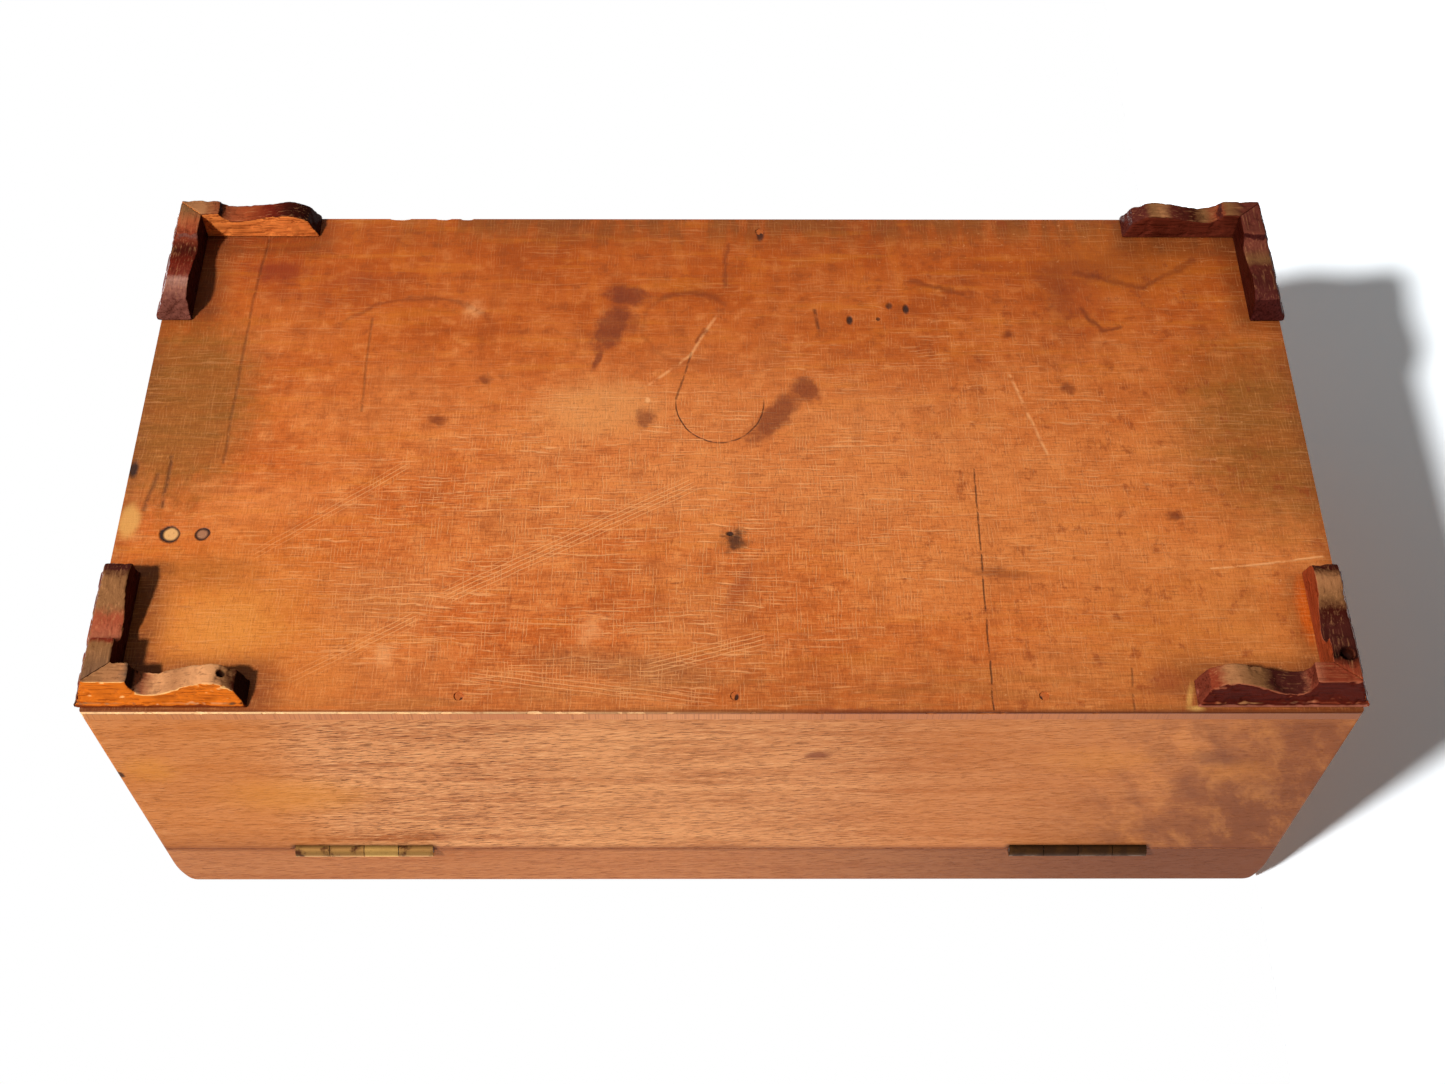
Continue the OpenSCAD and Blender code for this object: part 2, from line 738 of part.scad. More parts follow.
// Key: a pipe over the drill pin, a bit that stands in the bolt's talon, a collar and a ring bow
module key() {
    bow_wire = 2.6;
    collar_d = key_d + 2 * collar_step;
    inner_end = plate_y - key_end_gap;
    bow_y = -half_d - key_out + bow_d / 2;
    pipe_end = cap_y - pipe_past_cap;
    color(brass) translate([0, 0, key_z]) rotate([0, -rest_angle, 0]) difference() {
        union() {
            translate([0, inner_end, 0]) rotate([90, 0, 0])
                cylinder(h = inner_end - bow_y - bow_d / 2 + bow_wire / 2, d = key_d);
            translate([-bit_t / 2, cap_y + cap_t + bit_gap, 0])
                cube([bit_t, inner_end - cap_y - cap_t - bit_gap, bit_r]);
            for (y = [-half_d - collar_out, bow_y + bow_d / 2 + collar_to_bow])
                translate([0, y, 0]) rotate([90, 0, 0]) cylinder(h = collar_t, d = collar_d);
            translate([0, bow_y, 0]) rotate([0, 90, 0]) rotate_extrude()
                translate([(bow_d - bow_wire) / 2, 0]) circle(d = bow_wire);
        }
        translate([0, inner_end + cut, 0]) rotate([90, 0, 0])
            cylinder(h = inner_end + cut - pipe_end, d = drill_pin_d + 2 * key_fit);
    }
}

front_board();
back_board();
end_board(LEFT);  // left_end_board
end_board(RIGHT);  // right_end_board
bottom_board();
bottom_nails();
bottom_plugs();
long_half(-1, -1);  // front_left_foot_long_half
end_half(-1, -1);  // front_left_foot_end_half
long_half(1, -1);  // front_right_foot_long_half
end_half(1, -1);  // front_right_foot_end_half
long_half(-1, 1);  // back_left_foot_long_half
end_half(-1, 1);  // back_left_foot_end_half
long_half(1, 1);  // back_right_foot_long_half
end_half(1, 1);  // back_right_foot_end_half
lid_top_board();
lid_front_rail();
lid_back_rail();
lid_end_rail(LEFT);  // lid_left_rail
lid_end_rail(RIGHT);  // lid_right_rail
case_leaf(-1);  // left_hinge_case_leaf
lid_leaf(-1);  // left_hinge_lid_leaf
hinge_pin(-1);  // left_hinge_pin
case_leaf_screws(-1);  // left_hinge_case_screws
lid_leaf_screws(-1);  // left_hinge_lid_screws
case_leaf(1);  // right_hinge_case_leaf
lid_leaf(1);  // right_hinge_lid_leaf
hinge_pin(1);  // right_hinge_pin
case_leaf_screws(1);  // right_hinge_case_screws
lid_leaf_screws(1);  // right_hinge_lid_screws
lock_plate();
lock_cap();
lock_rivets();
lock_bolt();
lock_spring();
lock_screws();
link_plate();
link_plate_screws();
keyhole_liner();
key();
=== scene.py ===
import math
import random

import bmesh
import bpy
import numpy as np
from mathutils import Matrix, Vector, noise


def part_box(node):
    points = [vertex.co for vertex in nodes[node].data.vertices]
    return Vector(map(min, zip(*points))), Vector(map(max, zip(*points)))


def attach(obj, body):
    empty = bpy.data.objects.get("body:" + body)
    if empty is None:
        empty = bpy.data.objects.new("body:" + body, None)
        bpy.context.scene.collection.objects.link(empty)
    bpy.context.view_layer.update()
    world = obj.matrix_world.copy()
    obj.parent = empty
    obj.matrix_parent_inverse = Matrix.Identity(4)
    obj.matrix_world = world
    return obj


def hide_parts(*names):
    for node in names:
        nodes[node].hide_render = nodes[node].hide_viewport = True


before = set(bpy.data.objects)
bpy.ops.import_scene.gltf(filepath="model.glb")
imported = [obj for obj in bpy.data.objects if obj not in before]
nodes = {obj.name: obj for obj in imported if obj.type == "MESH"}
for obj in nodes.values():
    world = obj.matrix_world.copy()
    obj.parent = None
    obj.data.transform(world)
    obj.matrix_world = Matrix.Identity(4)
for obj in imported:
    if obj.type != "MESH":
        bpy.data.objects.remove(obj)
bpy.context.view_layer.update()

MM = 0.001

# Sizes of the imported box, in millimetres
base_low, base_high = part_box("bottom_board")
HALF_W, HALF_D = base_high.x / MM, base_high.y / MM
FOOT_H = base_low.z / MM
FLOOR_Z = base_high.z / MM
SEAM_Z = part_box("back_board")[1].z / MM
LID_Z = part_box("lid_back_rail")[0].z / MM
TOP_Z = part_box("lid_back_rail")[1].z / MM
LID_ARRIS = 3.8


def placed(name, data):
    """A new object in the scene."""
    made = bpy.data.objects.new(name, data)
    bpy.context.scene.collection.objects.link(made)
    return made


# Camera ----
# It looks up at the underside and the back, so the box stands on its lid in this view.

VIEW_POINT = Vector((-2.54, 284.07, -382.5)) * MM
PITCH, YAW, ROLL = 57.136, 0.586, 0.502
LENS, SENSOR = 45.495, 36


def make_camera():
    pitch, yaw, roll = (math.radians(angle) for angle in (PITCH, YAW, ROLL))
    forward = Vector((math.sin(yaw) * math.cos(pitch), -math.cos(yaw) * math.cos(pitch), math.sin(pitch)))
    level = Vector((math.cos(yaw), math.sin(yaw), 0))
    rise = level.cross(forward)
    right = level * math.cos(roll) + rise * math.sin(roll)
    up = rise * math.cos(roll) - level * math.sin(roll)
    data = bpy.data.cameras.new("camera")
    data.sensor_width, data.lens = SENSOR, LENS
    data.clip_start, data.clip_end = 0.01, 50
    camera = placed("camera", data)
    turn = Matrix((right, up, -forward)).transposed().to_4x4()
    camera.matrix_world = Matrix.Translation(VIEW_POINT) @ turn
    bpy.context.scene.camera = camera


# Paint: node trees written as expressions ----

def rgb(red, green, blue):
    """A colour given on the 0 to 255 scale of a screen, as linear light."""
    def linear(part):
        part /= 255
        return part / 12.92 if part <= 0.04045 else ((part + 0.055) / 1.055) ** 2.4
    return linear(red), linear(green), linear(blue)


def sum_of(operation, reflected=False):
    """A method that adds a Math node on the value and another."""
    def method(self, other):
        return self.math(operation, *((other, self) if reflected else (self, other)))
    return method


class Value:
    """An output socket. Sums on it add Math nodes to its tree."""

    __add__, __radd__ = sum_of("ADD"), sum_of("ADD", True)
    __sub__, __rsub__ = sum_of("SUBTRACT"), sum_of("SUBTRACT", True)
    __mul__, __rmul__ = sum_of("MULTIPLY"), sum_of("MULTIPLY", True)
    __truediv__, __rtruediv__ = sum_of("DIVIDE"), sum_of("DIVIDE", True)
    __pow__ = sum_of("POWER")
    least, most = sum_of("MINIMUM"), sum_of("MAXIMUM")

    def __init__(self, paint, socket):
        self.paint, self.socket = paint, socket

    def out(self, name):
        return Value(self.paint, self.socket.node.outputs[name])

    def math(self, operation, *terms):
        return self.paint.node("Math", {"operation": operation}, dict(enumerate(terms)))

    def __abs__(self):
        return self.math("ABSOLUTE", self)

    def held(self):
        """The value, held between 0 and 1."""
        return self.paint.node("Math", {"operation": "ADD", "use_clamp": True}, {0: self, 1: 0.0})

    def rise(self, low, high):
        """0 below low and 1 above high, smooth between, or the reverse if low is the larger."""
        return self.paint.node("MapRange", {"interpolation_type": "SMOOTHSTEP"}, {
            "Value": self, "From Min": low, "From Max": high})


class Paint:
    """A material, or another tree, with what the finishes of this box have in common."""

    def __init__(self, name, flat="XY", tree=None):
        self.material = None
        if tree is None:
            self.material = bpy.data.materials.new(name)
            self.material.use_nodes = True
            tree = self.material.node_tree
        self.tree = tree
        self.tree.nodes.clear()
        self.flat_axes = flat
        self.kept = {}
        self.pair = [self.axis(name) for name in flat]

    def node(self, kind, settings=None, sockets=None, output=0):
        made = self.tree.nodes.new("ShaderNode" + kind)
        for name, setting in (settings or {}).items():
            if name == "stops":
                self.set_stops(made.color_ramp, setting)
            else:
                setattr(made, name, setting)
        for name, value in (sockets or {}).items():
            self.feed(made.inputs[name], value)
        return Value(self, made.outputs[output]) if made.outputs else made

    @staticmethod
    def set_stops(ramp, stops):
        while len(ramp.elements) < len(stops):
            ramp.elements.new(1)
        for element, (place, colour) in zip(ramp.elements, stops):
            element.position = place
            element.color = (*colour, 1)

    def feed(self, socket, value):
        if isinstance(value, Value):
            self.tree.links.new(value.socket, socket)
        elif socket.type == "RGBA":
            socket.default_value = (*value[:3], 1)
        else:
            socket.default_value = value

    def once(self, name, make):
        if name not in self.kept:
            self.kept[name] = make()
        return self.kept[name]

    @property
    def point(self):
        """Where a point lies in the box at rest, in metres."""
        return self.once("point", lambda: self.node("TexCoord").out("Object"))

    def axis(self, name):
        """One of the point's coordinates, in millimetres."""
        parts = self.once("parts", lambda: self.node("SeparateXYZ", sockets={0: self.point}))
        return self.once(name, lambda: parts.out(name) * (1 / MM))

    def facing(self, name):
        """One part of the outward direction of the surface at rest."""
        normal = self.once("normal", lambda: self.node("SeparateXYZ", sockets={
            0: self.node("TexCoord").out("Normal")}))
        return normal.out(name)

    def noise(self, size, detail, roughness, shift, bend=0, turn=0):
        """Noise from 0 to 1 whose patches are about size millimetres along X, Y and Z.

        With two sizes it lies in the plane of X and Y."""
        flat = len(size) == 2
        spread = self.node("Mapping", {"vector_type": "TEXTURE"}, {
            "Vector": self.point,
            "Location": (shift * MM, shift * 1.7 * MM, 0 if flat else shift * 2.3 * MM),
            "Rotation": [math.radians(turn) * (name not in self.flat_axes) for name in "XYZ"],
            "Scale": tuple(part * MM for part in (*size, 1)[:3])})
        return self.node("TexNoise", {"noise_dimensions": "2D" if flat else "3D"}, {
            "Vector": spread, "Scale": 1, "Detail": detail, "Roughness": roughness, "Distortion": bend})

    @property
    def ragged(self):
        return self.once("ragged", lambda: self.noise((2.6, 2.6, 2.6), 4, 0.65, 31) - 0.5)

    @property
    def crumbs(self):
        return self.once("crumbs", lambda: self.noise((0.7, 0.7, 0.7), 3, 0.6, 84) - 0.5)

    def wander(self, size, reach):
        """The next marks wander off by up to about reach millimetres, in waves of size millimetres."""
        self.pair = [
            self.axis(name) + (self.noise((size, size, size), 3, 0.6, shift) - 0.5) * (2 * reach)
            for name, shift in zip(self.flat_axes, (51, 67))]

    def dot(self, x, y, offset):
        """The marked face's two coordinates times x and y, plus offset."""
        across, up = self.pair
        return across.math("MULTIPLY_ADD", across, x, up.math("MULTIPLY_ADD", up, y, offset))

    def reach(self, x, y, half_x, half_y, turn):
        """How far out a point is from an ellipse's middle: 1 on the ellipse."""
        cos, sin = math.cos(math.radians(turn)), math.sin(math.radians(turn))
        along = self.dot(cos / half_x, sin / half_x, -(cos * x + sin * y) / half_x)
        aside = self.dot(-sin / half_y, cos / half_y, (sin * x - cos * y) / half_y)
        return (along * along + aside * aside) ** 0.5

    def spot(self, x, y, half_x, half_y, turn, soft, ragged=0.8):
        """A mask, 1 inside an ellipse on the marked face and 0 outside it."""
        reach = self.reach(x, y, half_x, half_y, turn)
        return (reach + self.ragged * ragged).rise(1 + soft, 1 - soft)

    def ring(self, x, y, half_x, half_y, turn, width, soft):
        """A mask, 1 on an ellipse's line and 0 off it."""
        off = abs(self.reach(x, y, half_x, half_y, turn) - 1) * ((half_x + half_y) / 2)
        return off.rise(width / 2 + soft, max(width / 2 - soft, 0))

    def stroke(self, points, width, soft):
        """A mask, 1 on a line through the points and 0 off it."""
        across, up = self.pair
        nearest = None
        for (x0, y0), (x1, y1) in zip(points, points[1:]):
            run_x, run_y = x1 - x0, y1 - y0
            square = run_x ** 2 + run_y ** 2
            share = self.dot(run_x / square, run_y / square, -(x0 * run_x + y0 * run_y) / square).held()
            off_x = share.math("MULTIPLY_ADD", share, -run_x, across) - x0
            off_y = share.math("MULTIPLY_ADD", share, -run_y, up) - y0
            gap = off_x * off_x + off_y * off_y
            nearest = gap if nearest is None else nearest.least(gap)
        return (nearest ** 0.5).rise(width / 2 + soft, max(width / 2 - soft, 0))

    def marks(self, *rows):
        """The most of several masks. A row is a method's name, its mask's strength and its terms."""
        most = None
        for kind, strength, *terms in rows:
            mask = getattr(self, kind)(*terms)
            if strength != 1:
                mask = mask * strength
            most = mask if most is None else most.most(mask)
        return most

    def lines(self, pitch, turn, bend, share):
        """Fine parallel lines pitch millimetres apart, turned from X, that bend with a smooth value.

        share is how much of the pitch a line takes."""
        cos, sin = math.cos(math.radians(turn)), math.sin(math.radians(turn))
        turns = 2 * math.pi / pitch
        wave = bend.math("SINE", self.dot(-sin * turns, cos * turns, bend))
        return wave.rise(1 - 2 * share, 1)

    def mix(self, factor, under, over, kind="MIX"):
        return self.node("Mix", {"data_type": "RGBA", "blend_type": kind}, {
            0: factor, 6: under, 7: over}, output=2)

    def lay(self, colour, *coats):
        """Lays (mask, colour) coats over a colour, one after another."""
        for mask, over in coats:
            colour = self.mix(mask, colour, over)
        return colour

    def bump(self, height, deep):
        """The normal of a surface that rises by deep millimetres where the height is 1."""
        return self.node("Bump", sockets={"Height": height, "Distance": deep * MM, "Strength": 1})

    def finish(self, colour, roughness, normal, **others):
        sockets = {"Base Color": colour, "Roughness": roughness, "Normal": normal}
        sockets.update({name.replace("_", " "): value for name, value in others.items()})
        shader = self.node("BsdfPrincipled", sockets=sockets)
        self.node("OutputMaterial", sockets={"Surface": shader})
        return self.material


# Finishes of the wood ----

ORANGE = rgb(216, 119, 54)
RED_ORANGE = rgb(200, 96, 32)
PALE_ORANGE = rgb(236, 150, 82)
AMBER = rgb(176, 74, 8)
SIENNA = rgb(154, 70, 22)
RUSSET = rgb(108, 42, 14)
GOLD = rgb(212, 120, 34)
OLIVE = rgb(132, 78, 24)
UMBER = rgb(92, 46, 18)
# This dark brown is laid by the feet as dirt, and as painted shade beside them.
DIRT_AND_SHADE = rgb(86, 40, 14)
PLUM = rgb(112, 44, 26)
BLACKENED = rgb(38, 18, 12)
CREAM = rgb(238, 190, 134)
SCRATCH = rgb(244, 170, 108)
LIGHT_MAHOGANY = rgb(218, 146, 92)
DARK_MAHOGANY = rgb(170, 94, 46)


def underside():
    """The thin bottom board: orange wood, toothed, stained and marked out, with worn arrises."""
    p = Paint("underside")
    x, y, z = p.axis("X"), p.axis("Y"), p.axis("Z")
    cloud = p.noise((34, 22), 4, 0.6, 0.4)
    mottle = p.noise((5.5, 4), 4, 0.65, 2.2)
    smear = p.noise((7, 26), 4, 0.6, 3.1)
    drag = p.noise((38, 3.4), 4, 0.6, 8.4)
    weft = p.noise((6.5, 0.5), 4, 0.7, 5.2, 0.3)
    warp = p.noise((0.5, 2.6), 4, 0.7, 9.3, 0.3)
    pore = p.noise((0.6, 0.6), 3, 0.7, 19.3)
    blotch = p.noise((5.5, 6.5), 5, 0.7, 44.1)
    fleck = p.noise((2.2, 1.5), 4, 0.7, 45.7)
    far = y.rise(12, -72)

    colour = p.mix(cloud.rise(0.34, 0.66), RED_ORANGE, ORANGE)
    colour = p.lay(
        colour,
        (far * 0.8, AMBER),
        (far * cloud.rise(0.5, 0.3) * 0.5, rgb(150, 62, 10)),
        (far * smear.rise(0.52, 0.68) * 0.45, rgb(206, 106, 32)),
        (mottle.rise(0.5, 0.76) * 0.5 * (1 - far * 0.5), PALE_ORANGE),
        (mottle.rise(0.48, 0.26) * (0.5 + far * 0.3), SIENNA),
        (smear.rise(0.5, 0.28) * 0.34, SIENNA),
        (drag.rise(0.5, 0.3) * 0.3, SIENNA),
        (drag.rise(0.52, 0.7) * 0.3, GOLD),
    )

    # Broad zones of colour, with the streaks of the wood in them, dirt with painted shade by the feet,
    # and a painted glow by the back right foot
    streaky = 0.55 + drag * 0.9
    zones = (
        (p.spot(-128, 56, 33, 24, 0, 0.8) * (0.4 + drag * 0.6), rgb(204, 114, 34)),
        (p.spot(-124, 56, 13, 9, 0, 0.9, 1.6) * 0.5, rgb(226, 146, 62)),
        (p.spot(-133, 40, 12, 4, 0, 0.8, 1.6) * 0.5, rgb(160, 88, 24)),
        (p.spot(-86, 47, 14, 11, 0, 0.6) * 0.4, rgb(188, 112, 60)),
        (p.spot(-2, 52, 20, 11, 0, 0.7) * 0.35, rgb(176, 92, 42)),
        (p.spot(84, 22, 66, 36, 0, 0.7) * 0.36, rgb(228, 134, 66)),
        (p.spot(8, 2, 66, 28, 0, 0.7) * 0.26, rgb(236, 148, 84)),
        (p.spot(-33, -12, 15, 9, 0, 0.5) * 0.5, rgb(232, 156, 88)),
        (p.spot(128, 62, 34, 20, 0, 0.7) * 0.45, rgb(204, 122, 52)),
        (p.spot(-145, -12, 19, 30, 0, 0.45) * streaky * 0.8, OLIVE),
        (p.spot(150, -4, 26, 30, 0, 0.6) * streaky * 0.75, OLIVE),
        (p.spot(116, -66, 22, 13, 0, 0.6) * 0.5, rgb(196, 104, 28)),
        (y.rise(-64, -80) * x.rise(-130, -60) * smear.rise(0.3, 0.6) * 0.75, rgb(120, 66, 26)),
        (y.rise(56, 78) * (drag.rise(0.45, 0.62) * 0.3 + 0.3), rgb(156, 88, 40)),
        (p.spot(-23, 67, 22, 4, 8, 0.6) * 0.5, rgb(140, 84, 46)),
        (abs(x).rise(149, 156) * 0.4, UMBER),
        # Dark by the feet's inner faces: dirt, and painted shade that softens the edges of the shadows
        # the feet cast.
        (x.rise(-134, -144) * abs(y).rise(39, 46) * (0.35 + mottle * 0.75), rgb(100, 46, 20)),
        (x.rise(138, 146) * abs(y).rise(36, 43) * (0.2 + mottle * 0.6), DIRT_AND_SHADE),
        (abs(y).rise(62, 69) * abs(x).rise(106, 117) * (0.25 + mottle * 0.7), rgb(100, 46, 20)),
        (p.spot(-145, 39.5, 5, 2.4, 0, 0.9, 1.6) * 0.7, DIRT_AND_SHADE),
        (p.spot(-112, 73, 5, 7, 0, 0.8, 0.8) * 0.4, RUSSET),
        (p.spot(-98, 72, 8, 8, 0, 0.8, 0.8) * 0.4, rgb(216, 122, 50)),
        # A painted glow of orange light bounced onto the board from the back right foot's inner face.
        (p.spot(146.3, 51, 2.6, 9, 0, 0.5, 0.7) * 0.85, rgb(206, 88, 8)),
        (blotch.rise(0.56, 0.72) * 0.65 * x.rise(0, 70), rgb(146, 62, 20)),
        (fleck.rise(0.66, 0.76) * 0.45 * x.rise(-20, 60), rgb(238, 166, 106)),
        (p.spot(113.3, 75.6, 0.7, 3.2, 14, 0.8, 0.8) * 0.7, rgb(214, 158, 80)),
        (p.spot(114.6, 78.9, 1.6, 0.8, 0, 0.8, 0.8) * 0.8, rgb(222, 172, 92)),
    )
    colour = p.lay(colour, *zones)

    # The tooth of the wood: short threads both ways, and combed lines along, across and aslant
    bend = drag * 16 + cloud * 20
    along = p.lines(1.1, 0, bend, 0.3) * p.noise((13, 1.5), 3, 0.6, 12.0).rise(0.44, 0.6)
    along = along * p.noise((34, 9), 2, 0.5, 13.0).rise(0.42, 0.56)
    across = p.lines(0.85, 90, mottle * 5 + cloud * 14, 0.3)
    across = across * p.noise((2, 7), 3, 0.6, 14.0).rise(0.5, 0.64)
    ways = along.most(across * 0.7)
    combed = p.spot(-62, 56, 56, 16, 4, 0.7) * p.lines(1.3, 2, bend, 0.25)
    ways = ways.most(combed * drag.rise(0.5, 0.62) * 0.7)
    for points, width, turn in (
        (((-67, 46), (-10, 14)), 5.5, -29), (((-104, 70), (-78, 54)), 4, -31),
        (((-118, 34), (-84, 8)), 3.5, -36), (((-16, 67), (8, 60)), 5, -16), (((-60, 70), (-4, 76)), 4, 8),
    ):
        ways = ways.most(p.lines(1.2, turn, smear * 3, 0.28) * p.stroke(points, width, 1.5))
    worked = p.spot(-20, 30, 92, 52, -6, 0.45, 0.5).most(0.28 + p.spot(60, 10, 70, 50, 0, 0.5) * 0.32)
    grooves = ways * worked
    sharp = (0.45 + worked * 0.55) * (0.35 + mottle * 1.1) * (1 - far * 0.75)
    # lit and shaded are a painted highlight and painted shade: lighter and darker copies of the colour
    # laid on the two sides of the tooth's threads, and the shaded copy in the pores.
    lit, shaded = p.mix(0.5, colour, PALE_ORANGE), p.mix(0.6, colour, RUSSET)
    colour = p.lay(
        colour,
        (weft.rise(0.52, 0.72) * sharp, lit),
        (weft.rise(0.48, 0.28) * sharp, shaded),
        (warp.rise(0.54, 0.72) * sharp * 0.8, lit),
        (warp.rise(0.46, 0.28) * sharp * 0.8, shaded),
        (pore.rise(0.58, 0.7) * (0.45 - far * 0.3), shaded),
        (grooves * 0.65, SCRATCH),
    )

    # Stains, drips and tide marks
    p.wander(5, 2.2)
    purple = p.marks(
        ("spot", 1, -30.5, -40, 4.4, 9, 20, 0.4, 1.1),
        ("spot", 1, -26.5, -51, 6, 3.6, 12, 0.45, 1.2),
        ("spot", 1, -34, -28.5, 1.1, 3.6, 14, 0.5, 0.6),
        ("spot", 0.6, -24.5, -41, 2, 3.6, 0, 0.6, 1),
        ("spot", 1, 14.5, -9.5, 10.5, 3.4, -52, 0.45, 1),
        ("spot", 1, 22.5, -18.5, 3.2, 4.4, -40, 0.4, 1),
        ("spot", 0.9, -20.5, -8.5, 2.4, 3.2, 0, 0.5, 1.6),
    )
    rust = p.marks(
        ("spot", 1, -125, -60, 8.5, 4.4, 0, 0.7, 1.3),
        ("spot", 0.4, -105, -57, 9, 3, 0, 0.8, 1.6),
        ("spot", 0.35, -119, -51, 14, 2.6, 12, 0.8, 1.6),
        ("spot", 0.5, 4, 45, 1.8, 7, 24, 0.7, 1.2),
        ("spot", 0.7, 33, 79.8, 13, 1.2, 2, 0.6, 0.8),
        ("spot", 0.6, 108, 71.5, 4, 4, 0, 0.8, 1.4),
        ("spot", 0.35, 100, -52, 6, 14, 0, 0.9, 1.2),
    )
    tide = p.marks(
        ("stroke", 0.8, ((100, -60), (112, -56), (119, -54.5), (127, -60), (134, -64)), 1.2, 1.5),
        ("spot", 0.5, 112, -62, 17, 5, 4, 0.9, 1.6),
        ("spot", 0.5, 94, -54, 4, 13, 0, 1, 1.6),
        ("stroke", 0.9, ((100, -46), (105, -39), (110, -40)), 1, 0.8),
        ("stroke", 0.8, ((54, -56.5), (68, -52)), 1.3, 0.9),
        ("spot", 1, 79, -37.5, 1.9, 1.4, 0, 0.6),
        ("spot", 1, 93.5, -18.5, 1.6, 2, 0, 0.6),
        ("spot", 1, -64, -21.4, 1.6, 1.4, 0, 0.6),
        ("spot", 1, -76, -7.6, 2, 1.5, 0, 0.6),
        ("spot", 1, 117, 22.8, 2, 1.2, 0, 0.6),
        ("spot", 0.7, 70, 40, 9, 1.2, 6, 0.7, 1.2),
        ("stroke", 0.7, ((0.6, -55), (2.2, -70)), 0.7, 0.8),
        ("stroke", 0.9, ((-4.6, -39), (-6.8, -34.6)), 0.9, 0.5),
    )
    tide = tide.most(p.ring(-84, -36, 22, 14, 0, 0.8, 1.1) * y.rise(-38, -46) * 0.6)
    tide = tide.most(p.ring(-9, -40, 12.5, 12.5, 0, 0.7, 1) * x.rise(0, -6) * 0.3)
    tide = tide.most(p.ring(-9, -40, 12.5, 12.5, 0, 1.2, 1.2) * y.rise(-46, -51) * 0.75)
    colour = p.lay(
        colour,
        (purple * (0.56 + p.crumbs * 0.5), PLUM), (purple * purple * 0.34, RUSSET),
        (rust * 0.75, rgb(132, 46, 22)), (tide * (0.3 + mottle * 0.9), rgb(114, 46, 16)),
    )

    # Marking-out lines, cracks, small holes, and pale scratches
    p.wander(9, 0.5)
    drawn = p.marks(
        ("stroke", 0.55, ((-129, -72), (-130.6, -51), (-130.9, 6)), 0.5, 0.5),
        ("stroke", 1, ((66.2, 8), (65.5, 79)), 0.35, 0.22),
        ("stroke", 0.5, ((-96.8, -43), (-96.5, -11)), 0.4, 0.5),
        ("stroke", 0.8, ((-144.7, 4), (-144.7, 20)), 0.8, 0.6),
        ("stroke", 0.7, ((-147.6, 10), (-149.2, 21)), 0.9, 0.6),
        ("stroke", 0.8, ((-8.2, -31), (-12.2, -15)), 0.4, 0.3),
        ("stroke", 0.8, ((26, -46), (27.1, -37)), 0.7, 0.5),
        ("stroke", 0.6, ((100.3, 67.6), (99.5, 79.4)), 0.4, 0.3),
    )
    drawn = drawn.most(p.ring(-0.5, -14, 11.8, 13.4, 0, 0.28, 0.22) * y.rise(-16, -12))
    drawn = drawn * mottle.rise(0.3, 0.5)
    knot = p.spot(3.3, 30.4, 2.6, 2.8, 20, 0.9, 3)
    pits = p.marks(
        ("spot", 1, 35.6, -42.5, 0.8, 1.4, 0, 0.45, 0.3),
        ("spot", 1, 51.4, -46.5, 0.8, 1.6, 0, 0.45, 0.3),
        ("spot", 0.8, 46.7, -47.6, 0.8, 1.0, 0, 0.6, 0.6),
        ("spot", 1, 2.2, 28.1, 1, 0.6, 0, 0.4, 0.6),
        ("spot", 0.8, 43.5, -43, 0.5, 0.5, 0, 0.5, 0.5),
        ("spot", 0.9, 11.4, -74, 1, 1.9, 0, 0.5, 0.6),
        ("spot", 1, -154, 8, 1.2, 2.6, 0, 0.5, 0.8),
    )
    scraped = p.marks(
        ("stroke", 0.6, ((78.3, -23), (85.8, 3.2)), 0.5, 0.5),
        ("stroke", 0.6, ((-1.5, -44), (-8.7, -30), (-19.4, -20)), 0.5, 0.5),
        ("stroke", 0.8, ((124, 38.9), (138, 37.4), (153, 35.2)), 0.25, 0.4),
        ("spot", 0.5, -69, -46, 2.2, 2.6, 0, 1, 2),
        ("spot", 0.8, -20, -14.5, 0.7, 0.9, 0, 0.5),
        ("spot", 0.4, -83, 64, 2, 3, 0, 0.9, 2),
        ("spot", 0.4, -33, 57, 3, 3, 0, 1, 2.4),
    ) * mottle.rise(0.3, 0.55)
    bruised = p.spot(-152.3, 24.5, 2.6, 5, 0, 0.4, 0.5) * 0.75
    ringed = p.marks(
        ("spot", 1, -141.3, 28.6, 2.7, 2.6, 0, 0.15, 0.5),
        ("spot", 1, -133, 28.5, 2, 2, 0, 0.15, 0.5),
    )
    colour = p.lay(
        colour,
        (drawn * 0.8, rgb(70, 34, 16)), (knot * 0.9, rgb(62, 32, 18)), (pits * 0.95, BLACKENED),
        (scraped, SCRATCH), (bruised, rgb(222, 160, 84)), (ringed, BLACKENED),
    )

